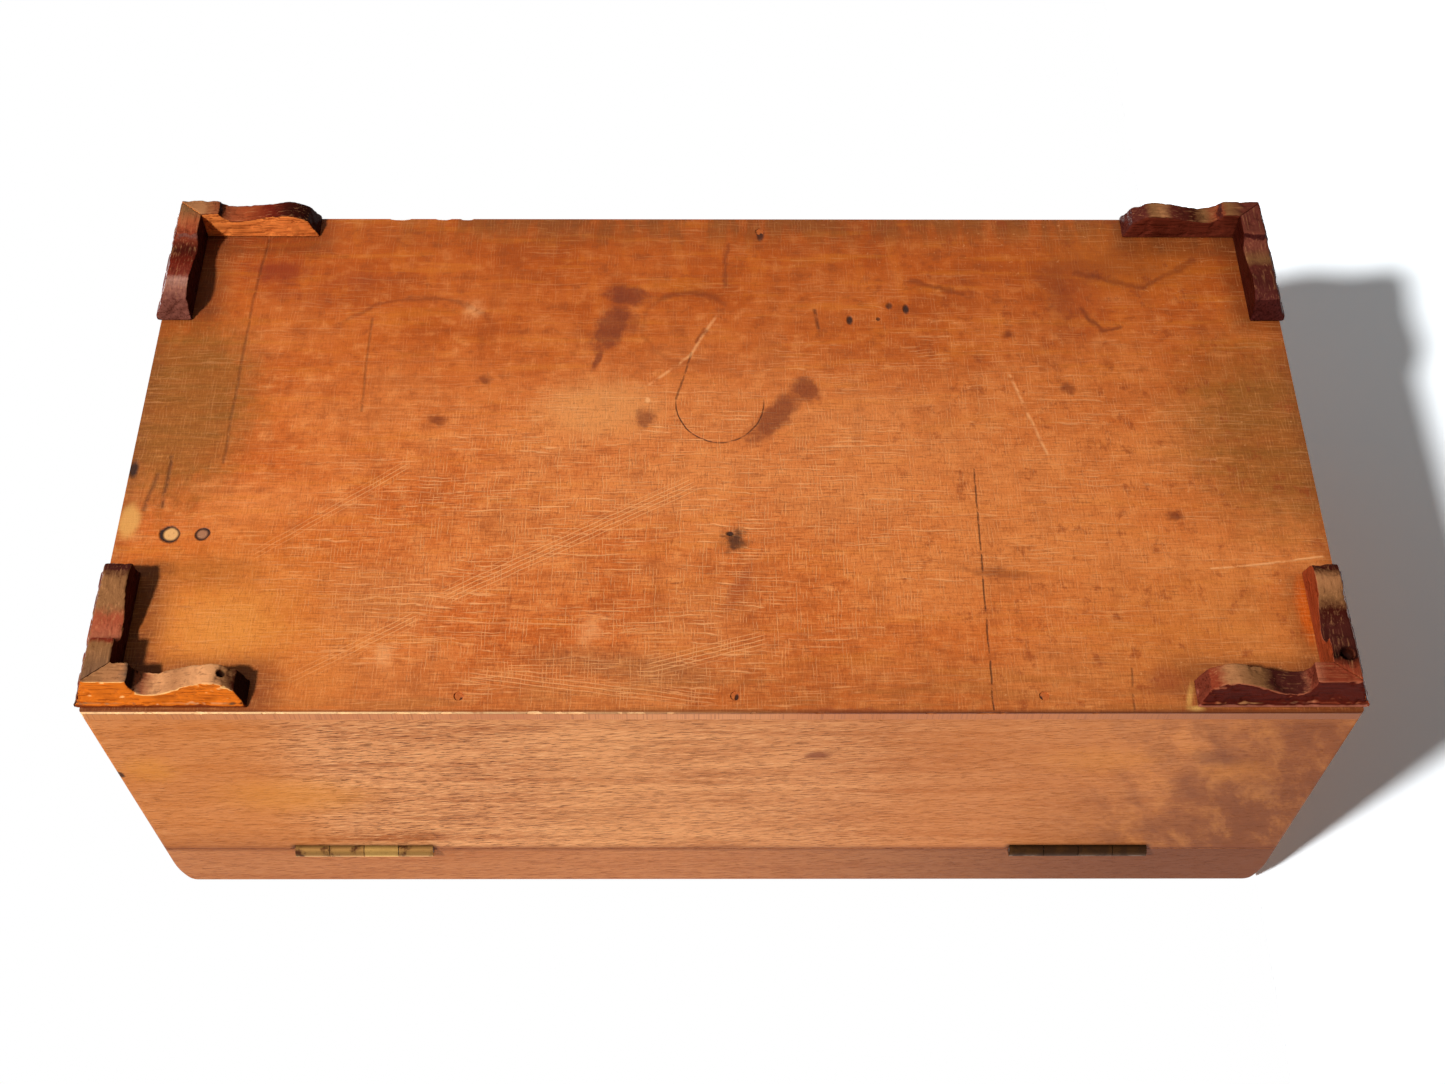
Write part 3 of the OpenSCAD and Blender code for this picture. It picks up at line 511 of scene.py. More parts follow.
    # The edge is stained like the walls, and its arris along the back is rubbed to pale wood at the left
    inset = (HALF_D - abs(y)).least(z - FOOT_H)
    by_edge = z.rise(FLOOR_Z - 0.6, FLOOR_Z - 1.2) * abs(y).rise(HALF_D - 3, HALF_D - 2.5)
    chipped = inset.rise(0.03, 0.12) * by_edge
    left_share = x.rise(30, -110)
    patchy = p.noise((7, 3, 3), 3, 0.6, 15.0)
    rubbed = abs(HALF_D - 0.15 - y - (z - FOOT_H)).rise(0.5, 0.25) * y.rise(HALF_D - 0.5, HALF_D - 0.4)
    edge = z.rise(FOOT_H + 0.3, FOOT_H + 0.5)
    dark_line = y.rise(HALF_D - 1.3, HALF_D - 0.7) * (1 - edge)
    colour = p.lay(
        colour,
        (dark_line * (0.3 + patchy * 0.6), rgb(110, 52, 20)),
        (edge, p.mix(drag.rise(0.3, 0.7), rgb(188, 112, 64), rgb(206, 132, 80))),
        (edge * x.rise(-100, -150) * 0.6, rgb(190, 116, 50)),
        (edge * x.rise(-20, 60) * 0.6, rgb(176, 98, 44)),
        (edge * x.rise(70, 150) * 0.8, rgb(122, 62, 28)),
        (edge * pore.rise(0.5, 0.7) * 0.4, rgb(130, 68, 34)),
        (rubbed * x.rise(-20, 60) * 0.8, rgb(90, 42, 18)),
        (rubbed * left_share * patchy.rise(0.25, 0.45), CREAM),
        (chipped * (0.35 + left_share * 0.6) * left_share.rise(0, 0.3), CREAM),
    )
    height = weft * 0.5 + warp * 0.5 - grooves * 0.5 - drawn * 1.2
    height = height - pits * 3 - scraped * 0.6 - ringed * 1.5
    roughness = 0.5 - purple * 0.12 + grooves * 0.12 + cloud * 0.12
    return p.finish(colour, roughness, p.bump(height, 0.16), Specular_IOR_Level=0.18)


def mahogany(name, grain="X", up="Z", shift=0, marks=None):
    """Mahogany with its grain along one axis: streaks of colour and short dark pores."""
    p = Paint(name, flat=grain + up)

    def sized(long, wide):
        return (long, wide, wide) if grain == "X" else (wide, long, wide)

    streak = p.noise(sized(80, 4.5), 5, 0.6, shift + 1)
    fibre = p.noise(sized(16, 0.6), 5, 0.7, shift + 2, 0, 3)
    cloud = p.noise(sized(40, 20), 4, 0.55, shift + 3)
    pores = p.noise(sized(3.4, 0.3), 2, 0.6, shift + 4, 0, 6)
    scuff = p.noise((5, 5, 5), 4, 0.7, shift + 6)
    colour = p.lay(
        p.mix(streak.rise(0.32, 0.66), DARK_MAHOGANY, LIGHT_MAHOGANY),
        (cloud.rise(0.4, 0.66) * 0.55, LIGHT_MAHOGANY),
        (cloud.rise(0.44, 0.26) * 0.4, DARK_MAHOGANY),
        (fibre.rise(0.5, 0.72) * 0.5, rgb(232, 162, 100)),
        (fibre.rise(0.49, 0.3) * 0.65, rgb(130, 66, 28)),
        (pores.rise(0.55, 0.63) * 0.9, rgb(100, 48, 20)),
        (pores.rise(0.42, 0.32) * 0.65, rgb(244, 184, 126)),
        (scuff.rise(0.6, 0.8) * 0.2, rgb(236, 172, 116)),
    )
    if marks:
        colour = marks(p, colour)
    height = fibre * 0.5 - pores.rise(0.58, 0.68) * 0.8 + p.crumbs * 0.2
    roughness = 0.42 + scuff * 0.16
    return p.finish(colour, roughness, p.bump(height, 0.12), Specular_IOR_Level=0.05)


def hinge_shadow_line(p, side):
    """A mask of the painted shadow line that follows a hinge's edge on the back board."""
    low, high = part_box(f"{side}_hinge_case_leaf")
    x, z = p.axis("X"), p.axis("Z")
    beside = x.rise(low.x / MM - 2, low.x / MM) * x.rise(high.x / MM + 2, high.x / MM)
    return beside * z.rise(SEAM_Z - 4.2, SEAM_Z - 1.6) * p.facing("Y").rise(0.3, 0.7)


def back_marks(p, colour):
    """Knot, golden patches and dark figure of the back, painted shade that darkens its right side, and
    painted shadow lines over the hinges.
    """
    x, z = p.axis("X"), p.axis("Z")
    outside = p.facing("Y").rise(0.3, 0.7)
    figure = p.noise((7, 7, 16), 4, 0.65, 21.0, 0.25, 25)
    cloudy = p.noise((30, 30, 12), 3, 0.6, 23.0)
    p.wander(6, 1.6)
    return p.lay(
        colour,
        (x.rise(-60, -30) * x.rise(60, -40) * 0.25, rgb(226, 154, 94)),
        (x.rise(-96, -124) * (0.35 + cloudy * 0.6), rgb(196, 112, 46)),
        (x.rise(-60, 60) * 0.3, rgb(196, 118, 62)),
        # Darker toward the right: painted shade of the window's light falling off.
        (x.rise(20, 64) * (0.3 + cloudy * 0.5), rgb(186, 104, 44)),
        (x.rise(112, 142) * 0.85, rgb(130, 66, 28)),
        (x.rise(64, 122) * z.rise(44, 84) * 0.65, rgb(134, 70, 28)),
        (x.rise(112, 138) * z.rise(24, 60) * 0.45, rgb(118, 62, 28)),
        (p.spot(124, 48, 9, 12, 0, 0.6) * 0.5, rgb(128, 68, 34)),
        (p.spot(-111, 56, 17, 9, 0, 0.7) * 0.5, rgb(216, 136, 52)),
        (p.spot(-145.8, 40.5, 6, 6, 0, 0.8, 1.2) * 0.5, rgb(216, 136, 52)),
        (x.rise(76, 118) * figure.rise(0.38, 0.84) * 0.65, rgb(108, 54, 26)),
        (x.rise(86, 112) * figure.rise(0.54, 0.22) * 0.45, rgb(214, 136, 70)),
        (p.spot(95.5, 35, 13, 6, 0, 0.8, 1.4) * 0.45, rgb(206, 126, 54)),
        (p.spot(132.4, 40.8, 8, 5, 0, 0.8, 1.4) * 0.4, rgb(206, 126, 54)),
        (p.spot(124, 34, 6, 3, 30, 0.7, 1.4) * 0.5, rgb(92, 44, 30)),
        (p.spot(24.5, 32.1, 3.2, 1.9, 0, 0.6, 0.9) * 0.8, rgb(122, 56, 26)),
        (p.spot(-154.5, 43.4, 1.2, 1.6, 0, 0.4, 0.5) * 0.9, BLACKENED),
        (z.rise(FLOOR_Z + 4, FLOOR_Z) * 0.3, rgb(180, 106, 56)),
        (z.rise(SEAM_Z - 16, SEAM_Z) * x.rise(-90, -150) * 0.45, rgb(150, 84, 44)),
        (z.rise(SEAM_Z - 3, SEAM_Z - 0.2) * outside * 0.45, rgb(124, 58, 26)),
        # Painted shadow lines along the hinges' edges.
        *((hinge_shadow_line(p, side) * 0.75, rgb(66, 30, 14)) for side in ("left", "right")),
        (z.rise(SEAM_Z - 0.9, SEAM_Z - 0.1) * outside * 0.7, rgb(84, 36, 18)),
    )


def band_marks(p, colour):
    """The lid's back rail: painted shade darkens it to the right, and it is darker along the seam."""
    x, z, out = p.axis("X"), p.axis("Z"), p.facing("Y")
    return p.lay(
        colour,
        (0.7, rgb(174, 102, 58)),
        # Painted shade: darker to the right as the window's light falls off.
        (x.rise(-30, 130) * out.rise(-0.3, 0.6) * 0.9, rgb(104, 52, 26)),
        (z.rise(LID_Z + 1.8, LID_Z) * out.rise(0.3, 0.7) * 0.6, rgb(104, 50, 26)),
        (z.rise(TOP_Z - 3, TOP_Z) * 0.35, rgb(120, 70, 44)),
    )


# The feet are stained and varnished, and worn to bare wood where they stand
STRAW = rgb(208, 144, 94)
SAND = rgb(172, 114, 72)
KHAKI = rgb(136, 90, 54)
SMOKE = rgb(104, 76, 58)
ROSE = rgb(166, 92, 64)
BRICK = rgb(134, 56, 34)
CHERRY = rgb(112, 34, 20)
VIVID = rgb(206, 104, 26)
MAROON = rgb(62, 20, 12)
PLUMMY = rgb(72, 30, 24)
INK = rgb(30, 10, 7)
LIP = rgb(104, 40, 18)


def foot_paint(name, along, start, ahead, outward, pits, tops, outer, inner, end, rim, lip):
    """One half of a foot, which runs along an axis from the case's corner at start.

    ahead is the sign of its end face's direction, outward the sign and the axis of its outer face, and
    tops are (millimetres from the corner, colour) stops along its sole side."""
    p = Paint(name)
    travel = start - abs(p.axis(along))
    reach = max(place for place, _ in tops)
    grain = (9, 0.5, 0.5) if along == "X" else (0.5, 9, 0.5)
    fibre = p.noise(grain, 4, 0.6, 4.0)
    wear = p.noise((2.2, 2.2, 2.2), 5, 0.7, 6.0)
    cloud = p.noise((7, 7, 7), 3, 0.6, 8.0)
    speck = p.noise((0.5, 0.5, 0.5), 3, 0.6, 7.0)
    worn = p.node("ValToRGB", {"stops": [(place / reach, colour) for place, colour in tops]}, {
        0: (travel + (wear - 0.5) * 5) / reach})
    worn = p.lay(
        worn,
        (fibre.rise(0.52, 0.75) * 0.35, STRAW),
        (fibre.rise(0.48, 0.25) * 0.55, MAROON),
        (wear.rise(0.56, 0.74) * 0.5, MAROON),
        (speck.rise(0.68, 0.76) * 0.25, STRAW),
    )
    sign, face = outward
    out = p.facing(face) * sign
    down = p.facing("Z") * -1
    z = p.axis("Z")
    sides = p.mix(out.rise(-0.2, 0.2), inner, outer)
    sides = p.lay(sides, ((p.facing(along) * ahead).rise(0.5, 0.8), end))
    for mask, tint in (
        (fibre.rise(0.5, 0.36) * 0.7, (0.36, 0.22, 0.18)),
        (fibre.rise(0.54, 0.7) * 0.5, (1.5, 1.4, 1.3)),
        (cloud.rise(0.5, 0.3) * 0.5, (0.55, 0.48, 0.45)),
    ):
        sides = p.mix(mask, sides, tint, "MULTIPLY")
    # lip is laid along the base of the outer face: a dark line on most halves, and a painted highlight on
    # the back right long half.
    base = z.rise(FOOT_H - 1.7, FOOT_H - 1.1) * out.rise(0, 0.4)
    # The rim colour along the top arrises is a painted highlight, broken up by the wear noise; on the
    # front feet it is dark maroon.
    arris = (abs(out) * down.most(0)).rise(0.36, 0.47) * (0.25 + wear) * z.rise(FOOT_H - 2.5, FOOT_H - 4)
    colour = p.lay(
        sides,
        (base * 0.9, lip),
        (down.rise(0.5, 0.75), worn),
        (arris * down.rise(0.9, 0.6), rim),
        (z.rise(FOOT_H - 0.5, FOOT_H - 0.15) * 0.8, INK),
        *((p.spot(x, y, wide * 1.1, wide * 1.1, 0, 0.25, 0.5) * 0.95, INK) for x, y, wide, _ in pits),
    )
    roughness = 0.3 + down.rise(0.5, 0.75) * 0.3 + wear * 0.1
    height = fibre * 0.5 + wear * 0.6 + speck * 0.3
    return p.finish(colour, roughness, p.bump(height, 0.2), Specular_IOR_Level=0.012)


def plug_paint():
    """End-grain plugs, the larger pale and the smaller darker, each with an uneven dark gap round it."""
    p = Paint("plug_end_grain")
    rings = p.noise((0.5, 0.9, 4), 4, 0.6, 3.0)
    smaller = p.axis("X").rise(-138, -136)
    core = p.marks(
        ("spot", 1, -141, 28.5, 1.75, 1.75, 0, 0.2, 0.5),
        ("spot", 1, -133, 28.5, 1.25, 1.25, 0, 0.25, 0.5),
    )
    colour = p.lay(
        p.mix(smaller, rgb(224, 164, 100), rgb(160, 106, 74)),
        (rings.rise(0.55, 0.7) * 0.5, rgb(170, 108, 64)),
        (p.crumbs.rise(0.1, 0.25) * 0.3, CREAM),
        ((1 - core) * 0.9, rgb(66, 32, 16)),
    )
    return p.finish(colour, 0.55 + rings * 0.2, p.bump(rings, 0.08), Specular_IOR_Level=0.2)


def filled_nails():
    """The nails' heads, punched in and stained over, so that each shows as a small dark mark at most."""
    p = Paint("filled_nails")
    tone = p.noise((5, 1.2), 4, 0.6, 7.0)
    heads = (-63.3, 76.3), (3.4, 75.5), (77.1, 76.1), (11.4, -74)
    marks = p.marks(*(("spot", 1, x, y, 0.45, 0.95, 8, 0.4, 0.7) for x, y in heads))
    colour = p.lay(
        p.mix(tone, rgb(168, 82, 32), rgb(196, 106, 50)),
        (p.crumbs.rise(0.0, 0.2) * 0.4, RUSSET),
        (marks * 0.95, BLACKENED),
    )
    return p.finish(colour, 0.6, p.bump(tone - marks * 2, 0.12), Specular_IOR_Level=0.18)


# Finishes of the metal ----

def brass(name, bright, dull, tarnish, share, shift, rubbed=()):
    """Brass that has been handled, tarnished in patches. share is how much of it is dark.

    rubbed lists a hinge's stretches of X that are rubbed bright. Its case side is darkened as a painted
    shadow."""
    p = Paint(name)
    patch = p.noise((5, 5, 5), 5, 0.65, shift + 2)
    rub = p.noise((7, 0.25, 0.25), 4, 0.6, shift + 5)
    pit = p.noise((0.35, 0.35, 0.35), 3, 0.6, shift + 7)
    dark = patch.rise(0.36 + (1 - share) * 0.3, 0.5 + (1 - share) * 0.3)
    for low, high in rubbed:
        clean = p.axis("X").rise(low - 0.5, low + 0.3) * p.axis("X").rise(high + 0.5, high - 0.3)
        dark = dark * (1 - clean * 0.9)
        dull = p.mix(clean, dull, bright)
    colour = p.lay(
        p.mix(rub, dull, bright),
        (dark * 0.92, tarnish),
        (pit.rise(0.6, 0.72) * 0.5, tarnish),
    )
    if rubbed:
        # The case side of a hinge takes the tarnish colour as a painted shadow.
        away = p.axis("Z").rise(LID_Z + 0.4, LID_Z - 0.6)
        colour = p.lay(colour, (away * 0.75, tarnish))
        dark = dark.most(away * 0.8)
    roughness = 0.24 + rub * 0.14 + dark * 0.34 + pit * 0.06
    normal = p.bump(rub * 0.4 - pit * 0.4, 0.04)
    return p.finish(colour, roughness, normal, Metallic=1 - dark * 0.45, Specular_IOR_Level=0.1)


def iron(name, bright, rust, share):
    """Filed iron or steel with oil and rust in it."""
    p = Paint(name)
    patch = p.noise((3, 3, 3), 5, 0.7, 2.0)
    file_marks = p.noise((0.25, 4, 0.25), 3, 0.6, 4.0)
    rusty = patch.rise(0.7 - share * 0.4, 0.78 - share * 0.3)
    oily = tuple(part * 0.5 for part in bright)
    colour = p.lay(bright, (file_marks.rise(0.5, 0.8) * 0.4, oily), (rusty * 0.85, rust))
    roughness = 0.34 + file_marks * 0.15 + rusty * 0.3
    height = file_marks * 0.5 + patch * 0.5
    return p.finish(colour, roughness, p.bump(height, 0.04), Metallic=1 - rusty * 0.7)


# Shaping ----

def new_piece(name, mesh, body, material):
    piece = placed(name, mesh)
    mesh.materials.clear()
    mesh.materials.append(material)
    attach(piece, body)
    return piece


def copy_mesh(node):
    mesh = nodes[node].data.copy()
    shape = bmesh.new()
    shape.from_mesh(mesh)
    bmesh.ops.remove_doubles(shape, verts=shape.verts, dist=1e-6)
    shape.to_mesh(mesh)
    shape.free()
    mesh.materials.clear()
    return mesh


def add_modifier(carrier, kind, settings):
    modifier = carrier.modifiers.new(kind.lower(), kind)
    for name, setting in settings.items():
        setattr(modifier, name, setting)


def worked_mesh(mesh, kind, settings):
    """Runs one modifier on a mesh and returns the result."""
    carrier = placed("carrier", mesh)
    add_modifier(carrier, kind, settings)
    graph = bpy.context.evaluated_depsgraph_get()
    made = bpy.data.meshes.new_from_object(carrier.evaluated_get(graph))
    bpy.data.objects.remove(carrier)
    return made


def lumps(name, places):
    """A mesh of many small lumps, each (place, sizes, turn), to cut chips with."""
    shape = bmesh.new()
    for place, sizes, turn in places:
        scale = Matrix.Diagonal((*sizes, 1))
        spin = Matrix.Rotation(turn, 4, "Z") @ Matrix.Rotation(turn * 1.7, 4, "X")
        matrix = Matrix.Translation(place) @ scale @ spin
        bmesh.ops.create_icosphere(shape, subdivisions=1, radius=1, matrix=matrix)
    mesh = bpy.data.meshes.new(name)
    shape.to_mesh(mesh)
    shape.free()
    return mesh


def cut_with(mesh, cutter_mesh):
    cutter = placed("cutter", cutter_mesh)
    made = worked_mesh(mesh, "BOOLEAN", {
        "operation": "DIFFERENCE", "object": cutter, "solver": "EXACT", "use_self": True})
    bpy.data.objects.remove(cutter)
    return made


def eased(width):
    """Settings of a narrow bevel that takes the sharp arrises off, as wear does."""
    sharpest = math.radians(50)
    return {"width": width * MM, "segments": 2, "limit_method": "ANGLE", "angle_limit": sharpest}


def bottom_piece():
    """The bottom board with eased arrises, and with chips out of its back and front edges."""
    draw = random.Random(11)
    chips = []
    # How many, along which edge, and from where to where
    runs = (26, HALF_D, -150, -20), (7, HALF_D, -20, 100), (4, -HALF_D, -108, -70)
    for count, y, low, high in runs:
        for _ in range(count):
            size = draw.uniform(0.5, 1.5)
            place = Vector((draw.uniform(low, high), y, FOOT_H))
            long = size * draw.uniform(1.2, 2.6)
            deep = 0.35 + 0.3 * size * draw.random()
            sizes = Vector((long, deep, 0.3 + 0.2 * size))
            chips.append((place * MM, sizes * MM, draw.uniform(0, 1)))
    mesh = worked_mesh(copy_mesh("bottom_board"), "BEVEL", eased(0.22))
    mesh = cut_with(mesh, lumps("chips", chips))
    piece = new_piece("bottom_board_worn", mesh, "case", underside())
    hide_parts("bottom_board")


# The lid's upright corners: radius at the seam, how much is added at the top, and over what height
CORNER_RADIUS, CORNER_WEAR, WORN_HEIGHT = 1.2, 4.6, 15
CORNER_CUTS, CUT_GAP = 16, 0.5


def slice_shape(shape, axis, level):
    """Cuts new edges into a shape where it crosses a level, in millimetres, along an axis."""
    place, normal = Vector((0, 0, 0)), Vector((0, 0, 0))
    place[axis], normal[axis] = level * MM, 1
    bmesh.ops.bisect_plane(
        shape, geom=shape.verts[:] + shape.edges[:] + shape.faces[:], dist=1e-7,
        plane_co=place, plane_no=normal)


def lid_rail_piece(side, material):
    """A rail of the lid whose upright corners are worn rounder towards the top."""
    node = f"lid_{side}_rail"
    mesh = copy_mesh(node)
    shape = bmesh.new()
    shape.from_mesh(mesh)
    for step in range(CORNER_CUTS):
        inset = 0.1 + CUT_GAP * step
        for axis, reach in ((0, HALF_W), (1, HALF_D)):
            slice_shape(shape, axis, inset - reach)
            slice_shape(shape, axis, reach - inset)
        slice_shape(shape, 2, TOP_Z - 0.4 - step)
    for vertex in shape.verts:
        x, y, z = vertex.co / MM
        share = max(0, min(1, (z - TOP_Z + WORN_HEIGHT) / WORN_HEIGHT))
        radius = CORNER_RADIUS + CORNER_WEAR * share * share
        above = max(0, z - TOP_Z + LID_ARRIS)
        inset = LID_ARRIS - math.sqrt(max(LID_ARRIS ** 2 - above ** 2, 0))
        off_x, off_y = abs(x) - HALF_W + radius, abs(y) - HALF_D + radius
        off = math.hypot(off_x, off_y)
        if off_x > 0 and off_y > 0 and off > radius - inset:
            scale = max(radius - inset, 0) / off
            vertex.co.x = math.copysign(HALF_W - radius + off_x * scale, x) * MM
            vertex.co.y = math.copysign(HALF_D - radius + off_y * scale, y) * MM
    shape.to_mesh(mesh)
    shape.free()
    piece = new_piece(f"{node}_worn", mesh, "lid", material)
    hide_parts(node)


def smooth_shape(mesh, rounds, hold):
    """Rounds a fine mesh by averaging each point with its neighbours. hold limits the moves."""
    count = len(mesh.vertices)
    points = np.zeros(count * 3)
    mesh.vertices.foreach_get("co", points)
    points = points.reshape(-1, 3)
    edges = np.zeros(len(mesh.edges) * 2, int)
    mesh.edges.foreach_get("vertices", edges)
    first, second = edges.reshape(-1, 2).T
    degree = np.bincount(np.concatenate((first, second)), minlength=count)[:, None]
    start = points.copy()
    for _ in range(rounds):
        total = np.zeros_like(points)
        np.add.at(total, first, points[second])
        np.add.at(total, second, points[first])
        points = hold(start, points + 0.5 * (total / degree - points))
    return points, start


# The feet's fineness, how often their shape is averaged, and their dents: (per metre, depth)
FOOT_VOXEL = 0.34 * MM
ARRIS_ROUNDS = 7
FINE_DENTS, COARSE_DENTS = (260, 0.55 * MM), (90, 0.45 * MM)


def foot_piece(side_y, side_x, half, finish, pits):
    """One half of a foot, with its arrises worn round and its faces dented."""
    node = f"{side_y}_{side_x}_foot_{half}_half"
    fine = worked_mesh(copy_mesh(node), "REMESH", {"mode": "VOXEL", "voxel_size": FOOT_VOXEL})
    low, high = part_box(node)
    sign_x = -1 if side_x == "left" else 1
    sign_y = 1 if side_y == "back" else -1
    corner = np.array((low.x if sign_x < 0 else high.x, high.y if sign_y > 0 else low.y, 0))
    long_low, long_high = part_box(f"{side_y}_{side_x}_foot_long_half")
    end_low, end_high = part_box(f"{side_y}_{side_x}_foot_end_half")
    across = Vector((sign_x * (long_high.y - long_low.y), sign_y * (end_high.x - end_low.x), 0))
    mitre = np.array(across.normalized()) * (1, -1, 0)

    def joints(start, mitre_gap, base_gap):
        """Which points lie close to the mitre, and which close to the case."""
        on_mitre = np.abs((start - corner) @ mitre) < mitre_gap * MM
        return on_mitre, start[:, 2] > (FOOT_H - base_gap) * MM

    def hold(start, moved):
        on_mitre, on_base = joints(start, 0.2, 0.2)
        drift = (moved - start) @ mitre
        moved[on_mitre] -= (drift[:, None] * mitre)[on_mitre]
        moved[on_base, 2] = start[on_base, 2]
        return moved

    points, start = smooth_shape(fine, ARRIS_ROUNDS, hold)
    fine.vertices.foreach_set("co", points.ravel())
    fine.update()
    normals = np.array([vertex.normal for vertex in fine.vertices])
    shift = Vector((sign_x * 31, sign_y * 17, 5 if half == "long" else 9))
    (fine_rate, fine_depth), (coarse_rate, coarse_depth) = FINE_DENTS, COARSE_DENTS
    dents = np.array([
        max(0.0, noise.fractal(Vector(point) * fine_rate + shift, 0.8, 2.2, 3)) * fine_depth
        + max(0.0, noise.noise(Vector(point) * coarse_rate + shift)) * coarse_depth
        for point in points
    ])
    on_mitre, on_base = joints(start, 0.3, 0.5)
    dents[on_mitre | on_base] = 0
    points = points - normals * dents[:, None]
    for x, y, wide, depth in pits:
        away = np.hypot(points[:, 0] / MM - x, points[:, 1] / MM - y) / wide
        sunk = (away < 1) & (normals[:, 2] < -0.5)
        points[sunk, 2] += depth * MM * (1 - away[sunk] ** 4)
    fine.vertices.foreach_set("co", points.ravel())
    fine.update()
    fine.polygons.foreach_set("use_smooth", [True] * len(fine.polygons))
    piece = new_piece(f"{node}_worn", fine, "case", finish)
    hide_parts(node)


# Stage ----

# The main light's place and size, its level on the underside, and the level of the room round it
WINDOW = Vector((-0.772, 0.668, -1.116))
WINDOW_SIZE = 0.13
KEY_LEVEL = 0.87
AMBIENT = 0.12

# Fill lamps for the sides that the window doesn't reach: (name, place, target, size, watts)
FILLS = (
    ("back_fill", (0.1, 0.62, 0.42), (0, 0.08, 0.05), 0.8, 3.6),
    ("front_top", (-0.5, -0.8, 0.9), (0, 0, 0.05), 0.8, 13),
    ("side", (1.0, -0.3, 0.5), (0.15, 0, 0.05), 0.6, 3),
)

# From and to where the upper floor melts into the backdrop, in millimetres from its middle
FLOOR_FADE = 260, 900


def add_lamp(name, place, target, size, watts):
    data = bpy.data.lights.new(name, "AREA")
    data.shape, data.size, data.energy = "DISK", size, watts
    lamp = placed(name, data)
    lamp.location = place
    lamp.rotation_mode = "QUATERNION"
    lamp.rotation_quaternion = (Vector(target) - Vector(place)).to_track_quat("-Z", "Y")
    lamp.visible_camera = False


def window_watts():
    """Power at which the window lights the middle of the underside to KEY_LEVEL."""
    middle = Vector((0, 0, FOOT_H * MM))
    ray = WINDOW - middle
    return math.pi ** 2 * KEY_LEVEL * ray.length ** 3 / -ray.z


def make_lamps():
    add_lamp("window", WINDOW, (0, 0, FOOT_H * MM), WINDOW_SIZE, window_watts())
    for fill in FILLS:
        add_lamp(*fill)


def make_world():
    world = bpy.data.worlds.new("room")
    bpy.context.scene.world = world
    world.use_nodes = True
    p = Paint("room", tree=world.node_tree)
    ray = p.node("LightPath")
    seen = ray.out("Is Camera Ray").most(ray.out("Is Glossy Ray")).most(ray.out("Is Transmission Ray"))
    sky = p.node("Background", sockets={"Color": (1, 1, 1), "Strength": AMBIENT + seen * (1 - AMBIENT)})
    p.node("OutputWorld", sockets={"Surface": sky})


def add_floor(name, corners, material):
    mesh = bpy.data.meshes.new(name)
    mesh.from_pydata(corners, [], [(0, 1, 2, 3)])
    mesh.materials.append(material)
    placed(name, mesh)


def one_sided(p, shader, past_floor=False):
    """Shows a shader on its front alone, and with past_floor only through the upper floor."""
    path = p.node("LightPath")
    seen = path.out("Is Camera Ray") * (1 - p.node("NewGeometry").out("Backfacing"))
    if past_floor:
        passed = path.out("Transparent Depth")
        seen = seen * passed.math("GREATER_THAN", passed, 0.5)
    clear = p.node("BsdfTransparent")
    surface = p.node("MixShader", sockets={0: seen, 1: clear, 2: shader})
    p.node("OutputMaterial", sockets={"Surface": surface})
    return p.material


def upper_floor():
    """What the feet stand on: seen from above only, bright enough to melt into the backdrop, and with a
    painted contact shadow under the box.
    """
    p = Paint("floor")
    x, y = p.axis("X"), p.axis("Y")
    reach = (x * x + y * y) ** 0.5
    # under is a painted contact shadow: the floor turns darker and cooler under and just round the box.
    under = (abs(x) - HALF_W).most(abs(y) - HALF_D).rise(8, -6)
    white = p.mix(under, (0.93, 0.93, 0.93), (0.5, 0.55, 0.58))
    cloth = p.node("BsdfDiffuse", sockets={"Color": white})
    glow = p.node("Emission", sockets={"Color": (1, 1, 1), "Strength": 1})
    return one_sided(p, p.node("MixShader", sockets={0: reach.rise(*FLOOR_FADE), 1: cloth, 2: glow}))


def lower_floor():
    """What the lid rests on when the box is turned over: seen from below, past the upper floor."""
    p = Paint("paper")
    away_x, away_y = p.axis("X") - WINDOW.x / MM, p.axis("Y") - WINDOW.y / MM
    drop = TOP_Z - WINDOW.z / MM
    length = (away_x * away_x + away_y * away_y + drop ** 2) ** 0.5
    lit = window_watts() / math.pi ** 2 * drop / MM ** 2 / length ** 3
    # The paper's colour is divided by the window's light so that where lit it renders evenly white; it is
    # raised toward the far side, which shows only in the shadow as painted light that lightens it there,
    # and tinted to cancel the warm light the box bounces onto it.
    white = (1.01 + 0.24 * p.axis("Y").rise(90, -150)) / (lit + AMBIENT)
    tint = p.node("CombineColor", sockets={0: white, 1: white * 1.06, 2: white * 1.1})
    return one_sided(p, p.node("BsdfDiffuse", sockets={"Color": tint}), past_floor=True)


def make_stage():
    wide = 6
    floor = [(x * wide, y * wide, 0) for x, y in ((-1, -1), (1, -1), (1, 1), (-1, 1))]
    add_floor("floor", floor, upper_floor())
    left, right, near, far, level = (HALF_W + 0.6) * MM, 0.7, 0.6, -0.7, TOP_Z * MM
    paper = [(left, near, level), (right, near, level), (right, far, level), (left, far, level)]
    add_floor("paper", paper, lower_floor())


# Dressing ----

def dress(material, *names):
    for name in names:
        for slot in nodes[name].material_slots:
            slot.material = material


